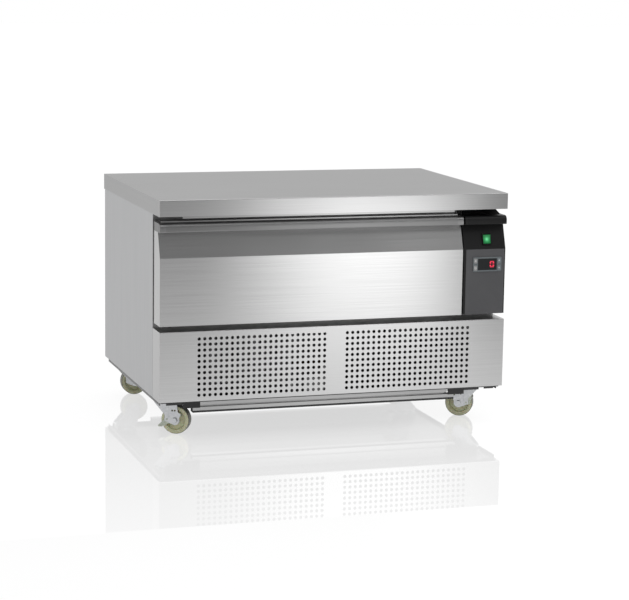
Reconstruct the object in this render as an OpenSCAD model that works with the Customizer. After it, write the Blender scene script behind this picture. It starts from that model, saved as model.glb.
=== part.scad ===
// Refrigerated drawer unit on casters: one wide insulated drawer over a ventilated machine base.
// X runs along the front, the front faces -Y, and Z is up from the floor.
// The origin lies on the floor under the middle of the unit.

/* [Overall] */
// Width over the worktop
unit_w = 950; // [900:5:1100]
// Depth over the worktop
unit_d = 660; // [660:5:760]
// Depth from the front plane of drawer and base panel to the cabinet's front frame
front_depth = 77; // [74:1:90]
// How far the worktop stands out past each side panel
side_overhang = 2; // [1:0.5:6]
// How far the worktop stands out past the back panel
back_overhang = 4; // [3.8:0.1:8]

/* [Worktop] */
// Thickness of the worktop slab
worktop_t = 42; // [30:1:60]
// Sheet thickness of the worktop
worktop_sheet = 1.5; // [1:0.1:2]
// Fillet along the worktop's outer edges
worktop_fillet = 2; // [1:0.5:4]
// Width of the return folded in under the slab
worktop_return = 22; // [10:1:40]

/* [Cabinet] */
// Sheet thickness of the cabinet panels
panel_t = 1.2; // [0.8:0.1:1.5]
// Width of the flanges folded in round the side panels
panel_flange = 14; // [10:1:20]
// Thickness of the insulation under and beside the drawer compartment
wall_insulation = 46; // [40:1:52]
// Insulation outside the evaporator bay
bay_insulation = 31; // [25:1:34]
// Sheet thickness of the compartment liner
liner_t = 1; // [0.8:0.1:1.5]
// Radius of the liner's coved corners
liner_cove = 14; // [8:1:20]

/* [Machine base] */
// Height of the base panel
base_h = 183; // [176:1:220]
// Sheet thickness of the base panel
base_t = 1.2; // [1:0.1:1.6]
// Diameter of the air holes
hole_d = 8.5; // [4:0.5:9]
// Pitch of the air holes
hole_pitch = 14.7; // [12:0.1:15.5]
// Columns of air holes in each group
hole_cols = 24; // [8:1:26]
// Rows of air holes in each group
hole_rows = 11; // [6:1:11]
// Distance from the panel's middle to the first column of holes
hole_gap = 31; // [20:1:50]
// Distance from the panel's lower edge to the lowest row
hole_low = 16; // [14:1:24]
// Bend radius of the base panel's upper and lower front edges
base_bend = 2; // [1.5:0.5:4]

/* [Chassis] */
// Thickness of the chassis pan
chassis_t = 2; // [1.5:0.1:3]
// Height of the chassis rim
chassis_rim = 12; // [10:1:14]
// How far the chassis rim stands in from the cabinet's sides
chassis_inset = 6; // [4:1:12]
// Half length of the front and rear cross rails
rail_half = 365; // [300:1:366]
// Height of the cross rails' box section
rail_h = 14; // [12:1:16]
// Depth of the cross rails' box section
rail_d = 22; // [18:1:24]
// Distance from the front plane to the front cross rail
rail_setback = 78; // [74:1:90]
// Distance from the rear swivel axes forward to the rear cross rail
rail_lead = 84; // [80:1:96]
// How far the cross rails hang below the chassis pan
rail_drop = 29; // [27:1:32]
// Gap between a cross rail and the strip above it
strip_gap = 6; // [4:1:8]
// How far that strip's ends lie inside the cross rail's ends
strip_inset = 20; // [10:1:40]
// Height of the dark aprons before the front casters
apron_h = 20; // [12:1:20]

/* [Drawer front] */
// Height of the drawer front
drawer_h = 263; // [250:1:300]
// Gap between base panel and drawer front
drawer_gap = 15; // [10:1:20]
// Gap between the drawer front and the worktop's underside
top_gap = 18; // [12:1:24]
// Thickness of the drawer front without its inner panel
drawer_t = 62; // [58:1:62]
// Sheet thickness of the drawer front's skin
skin_t = 1; // [0.8:0.1:1.5]
// Height of the handle lip
lip_h = 23; // [18:1:30]
// Radius of the lip's upper nose
lip_nose = 12; // [8:1:14]
// Radius of the lip's lower edge
lip_edge = 4; // [2:1:6]
// Depth of the finger recess under the lip
recess_d = 22; // [16:1:28]
// Height of the recess's sloping face
recess_h = 65; // [50:1:90]
// Length of the lip's end caps
cap_l = 16; // [6:1:18]
// Thickness of the drawer's inner panel
inner_t = 3; // [2:0.5:4]
// Height of the plug on the inner panel
plug_t = 8; // [5:1:9]

/* [Compartment] */
// Distance from the cabinet's left side to the drawer compartment's mouth
mouth_left = 79; // [70:1:90]
// Distance from the mouth to the right end of the drawer front
mouth_right = 45; // [40:1:50]
// Distance from the drawer front's lower edge up to the mouth
mouth_low = 33; // [28:1:36]
// Distance from the mouth up to the drawer front's upper edge
mouth_high = 25; // [23:1:30]
// Height of the runners' middle over the mouth's lower edge
runner_up = 150; // [140:1:152]

/* [Gasket] */
// Width of the gasket
gasket_w = 17; // [12:1:18]
// Gap left between the soft gasket and the cabinet's front frame
gasket_gap = 0.3; // [0.2:0.1:0.4]
// How far the gasket lies outside the compartment's mouth
gasket_lap = 3; // [1:1:4]

/* [Pan frame and runners] */
// Height of the drawer's pan frame
frame_h = 60; // [54:1:70]
// Sheet thickness of the pan frame
frame_t = 1.5; // [1:0.1:2]
// Clearance behind the closed pan frame
frame_back_gap = 5; // [4:1:10]
// Width of the pan frame's front and rear rims
frame_rim = 12; // [8:1:16]
// Width of the pan frame's side rims
frame_side = 17.5; // [12:0.5:22]
// Width of the divider bar between the pans
divider_w = 26; // [20:1:34]
// Height of the runners
runner_h = 45; // [40:1:50]
// Thickness of one pair of runners, from wall to drawer
runner_w = 13; // [12.5:0.1:14]
// Distance from the runners' rear ends to the liner
runner_end_gap = 28; // [20:1:60]
// Sheet thickness of the runner members
runner_t = 1.5; // [1.2:0.1:1.6]
// Diameter of the runners' steel balls
ball_d = 4; // [3.5:0.1:4]
// Running clearance of the balls
ball_play = 0.05; // [0.03:0.01:0.1]

/* [Controls] */
// Width of the control housing
control_w = 118; // [112:1:140]
// Gap between the drawer front and the control housing
control_gap = 5; // [3:1:8]
// How far the control face lies behind the front plane
control_set = 3; // [3:0.5:6]
// Width of the controller's front
controller_w = 81.4; // [74:0.1:86]
// Height of the controller's front
controller_h = 38.6; // [32:0.1:42]
// Distance from the slope's lower edge down to the controller's front
controller_drop = 22; // [14:1:30]
// How far the controls lie right of the housing's middle
control_shift = 7; // [5:0.5:8]
// How far the controller's front stands out of its plate
controller_proud = 2.2; // [1.5:0.1:2.6]
// Width of the display window
window_w = 54; // [48:1:56]
// Height of the display window
window_h = 31; // [26:1:33]
// Clearance round a key
key_play = 0.4; // [0.3:0.1:0.6]
// Stroke of a key
key_stroke = 0.8; // [0.5:0.1:1]
// Width of the rocker's bezel
bezel_w = 25.5; // [24:0.5:30]
// Height of the rocker's bezel
bezel_h = 31.5; // [30:0.5:36]
// Clearance round the rocker
rocker_play = 0.4; // [0.3:0.1:0.6]

/* [Casters] */
// Height of a caster, from the floor to its plate's top
caster_h = 100; // [96:1:110]
// Wheel diameter
wheel_d = 75; // [60:1:76]
// Wheel width
wheel_w = 28; // [22:1:30]
// Offset of the wheel's axle from the swivel axis
caster_offset = 25; // [20:1:28]
// Distance of the swivel axes from the cabinet's sides
swivel_inset = 49; // [47:1:53]
// Distance of the front swivel axes from the front plane
caster_front = 115; // [112:1:130]
// Distance of the rear swivel axes from the back of the worktop
caster_back = 46; // [46:1:60]
// Angle by which the front casters stand turned about their swivel axes
front_turn = -30; // [-60:5:60]
// Width of a caster's top plate
plate_w = 54; // [50:1:60]
// Length of a caster's top plate
plate_l = 72; // [68:1:72]
// Half spacing of the plate's bolts across
bolt_x = 19; // [17:1:20]
// Half spacing of the plate's bolts along
bolt_y = 28; // [27.5:0.1:29]
// Radius of the plate's bolts
bolt_r = 4; // [3:0.5:4]
// Thickness of the fork's legs
fork_t = 2.5; // [2:0.1:3]
// Radius of the axle
axle_r = 5; // [4:0.5:6]
// Radius of the thread guards beside the wheel
guard_r = 13; // [9:0.5:13]
// Running clearance of axles and kingpins, on the radius
pin_play = 0.05; // [0.03:0.01:0.1]

/* [Fans] */
// Diameter of the condenser fan's rotor
fan_d = 136; // [110:1:140]
// Number of condenser fan blades
fan_blades = 5; // [3:1:7]
// Diameter of the evaporator fan's rotor
evap_fan_d = 106; // [90:1:108]
// Number of evaporator fan blades
evap_blades = 7; // [5:1:9]
// Gap between a fan's blade tips and its ring
tip_gap = 3; // [2:0.5:5]

/* [Hidden] */

steel = "#b9bbbd";
bright_steel = "#d2d4d6";
dark_steel = "#6e7072";
zinc = "#c3c6c8";
foam = "#e3d6a8";
black_plastic = "#1f2021";
grey_plastic = "#58595b";
cream = "#d8d6b4";
copper = "#b4704a";

// Planes of the whole unit
side_x = unit_w / 2 - side_overhang;
front_y = -unit_d / 2;
cab_front = front_y + front_depth;
cab_back = unit_d / 2 - back_overhang;
body_z0 = caster_h + chassis_t * 2;
base_top = body_z0 + base_h;
drawer_z0 = base_top + drawer_gap;
drawer_z1 = drawer_z0 + drawer_h;
slab_z0 = drawer_z1 + top_gap;
unit_h = slab_z0 + worktop_t;
floor_top = caster_h + chassis_t;

// Drawer front and control column side by side
drawer_x0 = -side_x;
drawer_x1 = side_x - control_w - control_gap;
control_x0 = side_x - control_w;
control_mid = side_x - control_w / 2 + control_shift;

// Mouth of the drawer compartment, and the room behind it
mouth_x0 = drawer_x0 + mouth_left;
mouth_x1 = drawer_x1 - mouth_right;
mouth_z0 = drawer_z0 + mouth_low;
mouth_z1 = drawer_z1 - mouth_high;
bay_x0 = mouth_x1 + liner_t;
bay_x1 = side_x - bay_insulation;
bay_y0 = cab_front + wall_insulation;
room_back = cab_back - wall_insulation;
foam_x = side_x - panel_t;
foam_front = cab_front + panel_t * 2;
foam_back = cab_back - panel_t * 2;

// Parts of the drawer, front to back
inner_y = front_y + drawer_t;
gasket_y = inner_y + inner_t;
frame_front = gasket_y + plug_t;
frame_back = room_back - liner_t - frame_back_gap;
frame_x0 = mouth_x0 + runner_w;
frame_x1 = mouth_x1 - runner_w;
frame_mid = (frame_x0 + frame_x1) / 2;
pan_hole_w = (frame_x1 - frame_x0 - divider_w) / 2 - frame_side;
pan_x = divider_w / 2 + pan_hole_w;
runner_z = mouth_z0 + runner_up;
frame_z0 = runner_z - frame_h / 2;
frame_z1 = runner_z + frame_h / 2;
runner_y0 = frame_front + 8;
runner_l = room_back - liner_t - runner_end_gap - runner_y0;

// Drawer front profile: distance behind the front plane and height
lip_z0 = drawer_z1 - lip_h;
slope_z0 = lip_z0 - recess_h;
slope_angle = atan(recess_d / recess_h);

// Control pieces
controller_z = slope_z0 - controller_drop - controller_h / 2;
control_face = front_y + control_set;
plate_t = 1;
controller_y = control_face - controller_proud;
key_w = 9;
key_h = 13;
key_x = window_w / 2 + (controller_w - window_w) / 4;
key_z = controller_h / 4;
rocker_z = slope_z0 + recess_h * 0.385;
rocker_y = control_face + recess_d * (rocker_z - slope_z0) / recess_h;
rocker_w = bezel_w - 5;
rocker_h = bezel_h - 8;

// Caster stack, from the floor up
axle_z = wheel_d / 2;
crown_z = caster_h - 17;
crown_t = 3.5;
dish_r = 26;
dish_z1 = caster_h - 6.3;
race_z0 = caster_h - 6;
caster_plate_t = 3;
kingpin_r = 6;
leg_y = wheel_w / 2 + 4.6;
caster_x = side_x - swivel_inset;
front_caster_y = front_y + caster_front;
rear_caster_y = unit_d / 2 - caster_back;

// Brake pedal pivot, and the step from a leg's thick part to its gusset
pedal_s = 4;
pedal_z = axle_z + 1.5;
gusset_step = 0.8;

// Cross rails and chassis
rail_top = caster_h - rail_drop;
strip_z = rail_top + strip_gap;
strip_half = rail_half - strip_inset;
front_rail_y = front_y + rail_setback;
rear_rail_y = rear_caster_y - rail_lead;

// Machine base equipment
coil_x = [-side_x + 133, -side_x + 403];
coil_y = [cab_front + 22, cab_front + 74];
coil_z = [floor_top + 6, floor_top + 158];
fan_x = (coil_x[0] + coil_x[1]) / 2;
fan_z = (coil_z[0] + coil_z[1]) / 2;
shroud_t = 18;
motor_y = coil_y[1] + shroud_t;
compressor_at = [side_x - 263, 90];
compressor_r = 78;
compressor_h = 138;
compressor_z = floor_top + 16;

// Evaporator bay
evap_fan_y = room_back - 90;
evap_fan_z = mouth_z0 + 65;
evap_frame = 120;
evap_frame_t = 25;

small = 0.01;
round_n = 48;
fine_n = 96;
arc_n = 6;

function arc(centre, r, a0, a1, n = arc_n) =
    [for (i = [0:n]) centre + r * [cos(a0 + (a1 - a0) * i / n), sin(a0 + (a1 - a0) * i / n)]];

function rounded(x0, y0, x1, y1, r) = concat(
    arc([x1 - r, y1 - r], r, 0, 90), arc([x0 + r, y1 - r], r, 90, 180),
    arc([x0 + r, y0 + r], r, 180, 270), arc([x1 - r, y0 + r], r, 270, 360));

// A box between two corners
module span(a, b) {
    translate(a) cube(b - a);
}

// A profile of (y, z) points drawn out along X from x0 to x1
module along_x(x0, x1) {
    translate([x0, 0, 0]) rotate([90, 0, 90]) linear_extrude(x1 - x0) children();
}

// A profile of (x, z) points drawn out along Y from y0 to y1
module along_y(y0, y1) {
    translate([0, y1, 0]) rotate([90, 0, 0]) linear_extrude(y1 - y0) children();
}

// A flat slot with round ends, about its middle
module slot(w, h) {
    square([w - h, h], center = true);
    for (side = [-1, 1])
        translate([side * (w - h) / 2, 0]) circle(d = h, $fn = 24);
}

module mirrored_x() {
    children();
    mirror([1, 0, 0]) children();
}

// Worktop: a folded tray with rounded edges, open below inside its returns
module slab_solid(inset, z0, z1, r) {
    x = unit_w / 2 - inset;
    y = unit_d / 2 - inset;
    intersection() {
        translate([0, 0, z0]) linear_extrude(z1 - z0) polygon(rounded(-x, -y, x, y, r));
        along_x(-x, x) polygon(concat([[-y, z0], [y, z0]], arc([y - r, z1 - r], r, 0, 90),
            arc([-y + r, z1 - r], r, 90, 180)));
        along_y(-y, y) polygon(concat([[-x, z0], [x, z0]], arc([x - r, z1 - r], r, 0, 90),
            arc([-x + r, z1 - r], r, 90, 180)));
    }
}

module worktop() {
    inner = max(worktop_fillet - worktop_sheet, 0.3);
    color(bright_steel) difference() {
        slab_solid(0, slab_z0, unit_h, worktop_fillet);
        slab_solid(worktop_sheet, slab_z0 + worktop_sheet, unit_h - worktop_sheet, inner);
        span([-unit_w / 2 + worktop_return, -unit_d / 2 + worktop_return, slab_z0 - 1],
            [unit_w / 2 - worktop_return, unit_d / 2 - worktop_return, slab_z0 + worktop_sheet + small]);
    }
}

module worktop_core() {
    inner = max(worktop_fillet - worktop_sheet, 0.3);
    color(foam) slab_solid(worktop_sheet, slab_z0 + worktop_sheet, unit_h - worktop_sheet, inner);
}

// Side panel: an outer sheet with flanges folded in all round
module side_panel() {
    x0 = side_x - panel_flange;
    y0 = cab_front + panel_t;
    y1 = cab_back - panel_t;
    difference() {
        span([x0, y0, body_z0], [side_x, y1, slab_z0]);
        span([x0 - 1, y0 + panel_t, body_z0 + panel_t],
            [side_x - panel_t, y1 - panel_t, slab_z0 - panel_t]);
    }
}

module right_side_panel() {
    color(steel) side_panel();
}

module left_side_panel() {
    color(steel) mirror([1, 0, 0]) side_panel();
}

// Back panel: a flat sheet with rows of air slots behind the machine base
module back_panel() {
    slot_w = 70;
    slot_h = 6;
    slot_pitch_x = 100;
    slot_pitch_z = 16;
    color(steel) difference() {
        span([-side_x, cab_back - panel_t, body_z0], [side_x, cab_back, slab_z0]);
        along_y(cab_back - panel_t - 1, cab_back + 1)
            for (i = [-3:3], k = [0:6])
                translate([i * slot_pitch_x - 40, body_z0 + 44 + k * slot_pitch_z]) slot(slot_w, slot_h);
        translate([grommet_x, cab_back, grommet_z]) rotate([90, 0, 0])
            cylinder(h = 6, r = grommet_r, center = true, $fn = round_n);
    }
}

grommet_up = 60;
grommet_x = side_x - 78;
grommet_z = body_z0 + grommet_up;
grommet_r = 12;

// Cord grommet: the bushing of the mains inlet in the back panel
module cord_grommet() {
    bore = 5;
    lip = grommet_r + 3;
    nose = 3.4;
    color(black_plastic) translate([grommet_x, cab_back, grommet_z]) rotate([90, 0, 0])
        rotate_extrude($fn = round_n) polygon([[bore, -nose], [lip - 1.5, -nose], [lip, -nose / 2],
            [lip, 0], [grommet_r, 0], [grommet_r, panel_t], [lip, panel_t],
            [lip, panel_t + 2], [grommet_r - 2, panel_t + 5], [bore, panel_t + 5]]);
}

// Mid deck: the sheet that parts the insulated body from the machine base
module mid_deck() {
    color(steel) span([-foam_x, foam_front, base_top], [foam_x, foam_back, base_top + panel_t]);
}

// Front frame: the sealing face round the compartment's mouth
module front_frame() {
    color(steel) difference() {
        span([-side_x, cab_front, base_top], [side_x, cab_front + panel_t, slab_z0]);
        along_y(cab_front - 1, cab_front + panel_t + 1)
            polygon(rounded(mouth_x0, mouth_z0, mouth_x1, mouth_z1, liner_cove));
    }
}

// Compartment liner: a tub open to the front, with the evaporator bay to its right. Its coves are
// moulded on the inside only, over square corners that the foam fills up to.
module tub(g, r) {
    back = room_back - liner_t + g;
    z0 = mouth_z0 - g;
    z1 = mouth_z1 + g;
    along_y(cab_front, back) polygon(tub_outline(mouth_x0 - g, z0, mouth_x1 + g, z1, r));
    along_y(bay_y0 - g, back)
        polygon(tub_outline(mouth_x1 - liner_cove * 3, z0, bay_x1 - liner_t + g, z1, r));
}

function tub_outline(x0, z0, x1, z1, r) =
    r > 0 ? rounded(x0, z0, x1, z1, r) : [[x0, z0], [x1, z0], [x1, z1], [x0, z1]];

module compartment_liner() {
    color(bright_steel) difference() {
        intersection() {
            tub(liner_t, 0);
            span([-side_x, cab_front + panel_t, base_top], [side_x, cab_back, slab_z0]);
        }
        tub(0, liner_cove);
    }
}

// Insulation: foam boards cut to fit between the panels and the liner, with a thin joint between boards
module insulation() {
    joint = 0.3;
    floor_z = mouth_z0 - liner_t;
    roof_z = mouth_z1 + liner_t;
    wall_z = [floor_z + joint, roof_z - joint];
    left_x = mouth_x0 - liner_t;
    column_x = mouth_x1 + liner_t;
    column_y = bay_y0 - liner_t;
    color(foam) {
        span([-foam_x, foam_front, base_top + panel_t], [foam_x, foam_back, floor_z]);
        span([-foam_x, foam_front, roof_z], [foam_x, foam_back, slab_z0 - panel_t]);
        span([-foam_x, foam_front, wall_z[0]], [left_x, foam_back, wall_z[1]]);
        span([left_x + joint, room_back, wall_z[0]], [foam_x, foam_back, wall_z[1]]);
        span([column_x, foam_front, wall_z[0]], [foam_x, column_y, wall_z[1]]);
        span([bay_x1, column_y + joint, wall_z[0]], [foam_x, room_back - joint, wall_z[1]]);
    }
}

// Evaporator cover: the slotted wall between the drawer compartment and the evaporator bay
module evaporator_cover() {
    slot_w = 60;
    slot_h = 5;
    slot_pitch = 13;
    slot_at = [bay_y0 + 60, bay_y0 + 140];
    color(bright_steel) difference() {
        span([mouth_x1, bay_y0, mouth_z0], [bay_x0, room_back - liner_t, mouth_z1]);
        for (k = [0:7], y = slot_at)
            span([mouth_x1 - 1, y - slot_w / 2, mouth_z0 + 20 + k * slot_pitch],
                [bay_x0 + 1, y + slot_w / 2, mouth_z0 + 20 + k * slot_pitch + slot_h]);
        translate([mouth_x1 - 1, evap_fan_y, evap_fan_z]) rotate([0, 90, 0])
            cylinder(h = 3, r = evap_fan_d / 2 + tip_gap, $fn = fine_n);
    }
}

// Fin and tube coil: upright fins across X on rows of tubes that run along X
module fin_coil(a, b, fin_pitch, rows, tube_r) {
    fin_t = 0.8;
    bend = tube_r * 3.5;
    x0 = a[0] + bend + tube_r;
    x1 = b[0] - bend - tube_r;
    fins = floor((x1 - x0 - 3) / fin_pitch);
    row_y = (b[1] - a[1]) / rows;
    turns = floor((b[2] - a[2]) / (4 * bend));
    for (i = [0:fins])
        span([x0 + i * fin_pitch, a[1], a[2]], [x0 + i * fin_pitch + (i == 0 ? 2 : fin_t), b[1], b[2]]);
    span([x1 - 2, a[1], a[2]], [x1, b[1], b[2]]);
    for (j = [0:rows - 1], k = [0:turns - 1]) {
        y = a[1] + row_y * (j + 0.5);
        z = a[2] + bend + tube_r + k * 4 * bend;
        for (dz = [0, 2 * bend])
            translate([x0 - 3, y, z + dz]) rotate([0, 90, 0])
                cylinder(h = x1 - x0 + 3, r = tube_r, $fn = 24);
        translate([x1, y, z + bend]) rotate([90, 0, 0]) rotate([0, 0, -90])
            rotate_extrude(angle = 180, $fn = round_n) translate([bend, 0]) circle(r = tube_r, $fn = 24);
    }
}

module evaporator_coil() {
    side_gap = 8;
    end_gap = 20;
    fan_room = 80;
    color("#c9cccd") fin_coil([bay_x0 + side_gap, bay_y0 + end_gap, mouth_z0],
        [bay_x1 - side_gap, evap_fan_y - fan_room, mouth_z1 - end_gap], 9, 3, 4.5);
}

// Fan rotor about the Z axis: a cupped hub with pitched blades and a bore for the shaft
module fan_rotor(d, hub_r, hub_h, blades, pitch, bore) {
    chord = PI * d * 0.75 / blades * 0.62;
    difference() {
        union() {
            cylinder(h = hub_h, r = hub_r, center = true, $fn = round_n);
            intersection() {
                for (i = [0:blades - 1])
                    rotate([0, 0, 360 * i / blades]) rotate([pitch, 0, 0])
                        translate([hub_r - 1.5, -chord / 2, -0.9]) cube([d / 2, chord, 1.8]);
                cylinder(h = hub_h * 2, r = d / 2, center = true, $fn = fine_n);
            }
        }
        cylinder(h = hub_h + 2, r = bore, center = true, $fn = 24);
        translate([0, 0, 3]) cylinder(h = hub_h, r = hub_r - 3, $fn = round_n);
    }
}

// Evaporator fan: a square frame screwed behind the cover, blowing into the compartment
evap_shaft_r = 2;
evap_rotor_x = bay_x0 + 11;

module evaporator_fan_frame() {
    ring_r = evap_fan_d / 2 + tip_gap;
    back = evap_frame_t;
    color(black_plastic) translate([bay_x0, evap_fan_y, evap_fan_z]) rotate([0, 90, 0]) {
        difference() {
            linear_extrude(evap_frame_t) polygon(rounded(-evap_frame / 2, -evap_frame / 2,
                evap_frame / 2, evap_frame / 2, 5));
            translate([0, 0, -1]) cylinder(h = back + 2, r = ring_r, $fn = fine_n);
        }
        for (i = [0:3])
            rotate([0, 0, 45 + i * 90]) translate([0, -2, back - 3]) cube([ring_r + 3, 4, 3]);
        translate([0, 0, back - 6]) cylinder(h = 6, r = 19, $fn = round_n);
        translate([0, 0, 5]) cylinder(h = back - 6, r = evap_shaft_r, $fn = 24);
    }
}

module evaporator_fan_rotor() {
    color(grey_plastic) translate([evap_rotor_x, evap_fan_y, evap_fan_z]) rotate([0, 90, 0])
        fan_rotor(evap_fan_d, 19, 12, evap_blades, 28, evap_shaft_r + pin_play);
}

// Telescopic runners: a fixed, a middle and a drawer member with ball rows between them.
// The section is drawn for the left runner, w from the wall to the drawer.
function channel(w0, w1, half) = [[w0, -half], [w1, -half], [w1, -half + runner_t],
    [w0 + runner_t, -half + runner_t], [w0 + runner_t, half - runner_t], [w1, half - runner_t],
    [w1, half], [w0, half]];

outer_half = runner_h / 2;
middle_half = outer_half - runner_t - ball_d - ball_play * 2;
drawer_half = middle_half - runner_t - ball_d - ball_play * 2;
middle_w = runner_t + 1;
drawer_w = middle_w + runner_t + 1;

module both_runners() {
    translate([mouth_x0, 0, runner_z]) children();
    translate([mouth_x1, 0, runner_z]) mirror([1, 0, 0]) children();
}

module runner_member(points) {
    along_y(runner_y0, runner_y0 + runner_l) polygon(points);
}

module fixed_runners() {
    color(zinc) both_runners() runner_member(channel(0, drawer_w + 4, outer_half));
}

module middle_runners() {
    ball_w = (middle_w + runner_t + drawer_w + 4) / 2;
    ball_r = ball_d / 2;
    color(zinc) both_runners() {
        runner_member(channel(middle_w, drawer_w + 5, middle_half));
        for (side = [-1, 1], i = [0:2]) {
            outer_y = runner_y0 + runner_l * (0.55 + 0.18 * i);
            inner_ball_y = runner_y0 + runner_l * (0.08 + 0.18 * i);
            translate([ball_w, outer_y, side * (middle_half + ball_play + ball_r)])
                sphere(r = ball_r, $fn = 24);
            translate([ball_w + 1, inner_ball_y, side * (drawer_half + ball_play + ball_r)])
                sphere(r = ball_r, $fn = 24);
        }
    }
}

module drawer_runners() {
    points = channel(0, runner_w - drawer_w, drawer_half);
    color(zinc) both_runners() runner_member([for (p = points) [runner_w - p[0], p[1]]]);
}

// Chassis pan: a floor sheet with rims at its sides and its rear, a low upstand with corner tabs
// along its front, and an apron before each front caster
module chassis_pan() {
    x1 = side_x - chassis_inset;
    y0 = front_y + 10;
    y1 = cab_back - 4;
    rim_z = body_z0 - chassis_rim;
    corner = 15;
    tab_l = 27;
    tab_h = 4;
    apron_y = front_caster_y - 40;
    apron_inset = 30;
    color(dark_steel) difference() {
        union() {
            span([-x1, y0, caster_h], [x1, y1, floor_top]);
            span([-x1 + corner, y1 - chassis_t, rim_z], [x1 - corner, y1, body_z0]);
            span([-x1 + corner, y0, caster_h], [x1 - corner, y0 + chassis_t, body_z0]);
            mirrored_x() {
                span([x1 - chassis_t, y0 + corner, rim_z], [x1, y1 - corner, body_z0]);
                span([x1 - corner - tab_l, y0, caster_h - tab_h], [x1 - corner, y0 + chassis_t, body_z0]);
                span([strip_half + 1, apron_y, caster_h - apron_h],
                    [x1 - apron_inset, apron_y + chassis_t, caster_h + small]);
            }
        }
        caster_places() for (x = [-bolt_x, bolt_x], y = [-bolt_y, bolt_y])
            translate([x, y, caster_h - 1]) cylinder(h = chassis_t + 2, r = bolt_r + 0.3, $fn = 24);
    }
}

// Cross rails: a box section with a folded strip above it that carries it under the chassis
module cross_rail(y0) {
    wall = 2;
    web_y = y0 + 8;
    flange = 14;
    difference() {
        span([-rail_half, y0, rail_top - rail_h], [rail_half, y0 + rail_d, rail_top]);
        span([-rail_half - 1, y0 + wall, rail_top - rail_h + wall],
            [rail_half + 1, y0 + rail_d - wall, rail_top - wall]);
    }
    along_x(-strip_half, strip_half) polygon([[web_y, rail_top - small], [web_y + wall, rail_top - small],
        [web_y + wall, strip_z + wall], [y0 + wall, strip_z + wall], [y0 + wall, caster_h - wall],
        [y0 + flange, caster_h - wall], [y0 + flange, caster_h], [y0, caster_h], [y0, strip_z],
        [web_y, strip_z]]);
}

module front_cross_rail() {
    color(steel) cross_rail(front_rail_y);
}

module rear_cross_rail() {
    color(steel) cross_rail(rear_rail_y);
}

// Base panel: a folded sheet with two fields of air holes
module base_panel() {
    t = base_t;
    r = base_bend;
    z0 = body_z0;
    z1 = base_top;
    lower_return = 21;
    outer = concat([[cab_front, z1]], arc([front_y + r, z1 - r], r, 90, 180),
        arc([front_y + r, z0 + r], r, 180, 270),
        [[front_y + lower_return, z0], [front_y + lower_return, z0 + t]]);
    inner = concat(arc([front_y + r, z0 + r], r - t, 270, 180), arc([front_y + r, z1 - r], r - t, 180, 90),
        [[cab_front, z1 - t]]);
    color(steel) difference() {
        union() {
            along_x(-side_x, side_x) polygon(concat(outer, inner));
            mirrored_x() along_x(side_x - t, side_x)
                polygon(concat(arc([front_y + r, z1 - r], r, 90, 180),
                    arc([front_y + r, z0 + r], r, 180, 270), [[cab_front, z0], [cab_front, z1]]));
        }
        along_y(front_y - 1, front_y + t + 1)
            for (side = [-1, 1], i = [0:hole_cols - 1], k = [0:hole_rows - 1])
                translate([side * (hole_gap + i * hole_pitch), z0 + hole_low + k * hole_pitch])
                    circle(d = hole_d, $fn = 24);
    }
}

// Front profile shared by the drawer front and the control housing: set is the distance of the
// face behind the front plane, t the inset of a wall, and back the plane that closes it
function front_outline(set, t, back) = let (f = front_y + set) [
    [back, drawer_z0 + t], [f + t, drawer_z0 + t],
    [f + t, slope_z0 - t * tan(slope_angle / 2)],
    [f + (recess_h - t) * tan(slope_angle) + t / cos(slope_angle), lip_z0 - t],
    [back, lip_z0 - t]];

function lip_outline(t, back) = concat([[back, lip_z0 + t], [back, drawer_z1 - t]],
    arc([front_y + lip_nose, drawer_z1 - lip_nose], lip_nose - t, 90, 180),
    arc([front_y + lip_edge, lip_z0 + lip_edge], lip_edge - t, 180, 270));

// Drawer front: folded skin, foamed core, handle profile with end caps, and inner panel
module drawer_front_skin() {
    t = skin_t;
    color(bright_steel) difference() {
        along_x(drawer_x0, drawer_x1) polygon(front_outline(0, 0, inner_y));
        along_x(drawer_x0 + t, drawer_x1 - t) polygon(front_outline(0, t, inner_y + 1));
    }
}

module drawer_front_core() {
    color(foam) along_x(drawer_x0 + skin_t, drawer_x1 - skin_t) polygon(front_outline(0, skin_t, inner_y));
}

handle_wall = 2;

module drawer_handle() {
    color(steel) along_x(drawer_x0 + cap_l, drawer_x1 - cap_l) difference() {
        polygon(lip_outline(0, inner_y));
        polygon(lip_outline(handle_wall, inner_y - handle_wall));
    }
}

module drawer_handle_caps() {
    tongue = 10;
    color(steel) {
        along_x(drawer_x0, drawer_x0 + cap_l) polygon(lip_outline(0, inner_y));
        along_x(drawer_x0 + cap_l, drawer_x0 + cap_l + tongue)
            polygon(lip_outline(handle_wall + 0.2, inner_y - handle_wall - 0.2));
        along_x(drawer_x1 - cap_l, drawer_x1) polygon(lip_outline(0, inner_y));
        along_x(drawer_x1 - cap_l - tongue, drawer_x1 - cap_l)
            polygon(lip_outline(handle_wall + 0.2, inner_y - handle_wall - 0.2));
    }
}

module drawer_inner_panel() {
    step = gasket_lap + 1.5;
    color(bright_steel) {
        along_y(inner_y, gasket_y)
            polygon(rounded(drawer_x0 + 2, drawer_z0 + 2, drawer_x1 - 2, drawer_z1 - 2, 3));
        along_y(gasket_y, frame_front)
            polygon(rounded(mouth_x0 + step, mouth_z0 + step, mouth_x1 - step, mouth_z1 - step, liner_cove));
    }
}

// Drawer gasket: a ring round the plug that seals on the front frame
module drawer_gasket() {
    a = gasket_lap;
    b = gasket_lap + gasket_w;
    color("#3a3c3d") along_y(gasket_y, cab_front - gasket_gap) difference() {
        polygon(rounded(mouth_x0 - b, mouth_z0 - b, mouth_x1 + b, mouth_z1 + b, liner_cove + b));
        polygon(rounded(mouth_x0 - a, mouth_z0 - a, mouth_x1 + a, mouth_z1 + a, liner_cove + a));
    }
}

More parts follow.
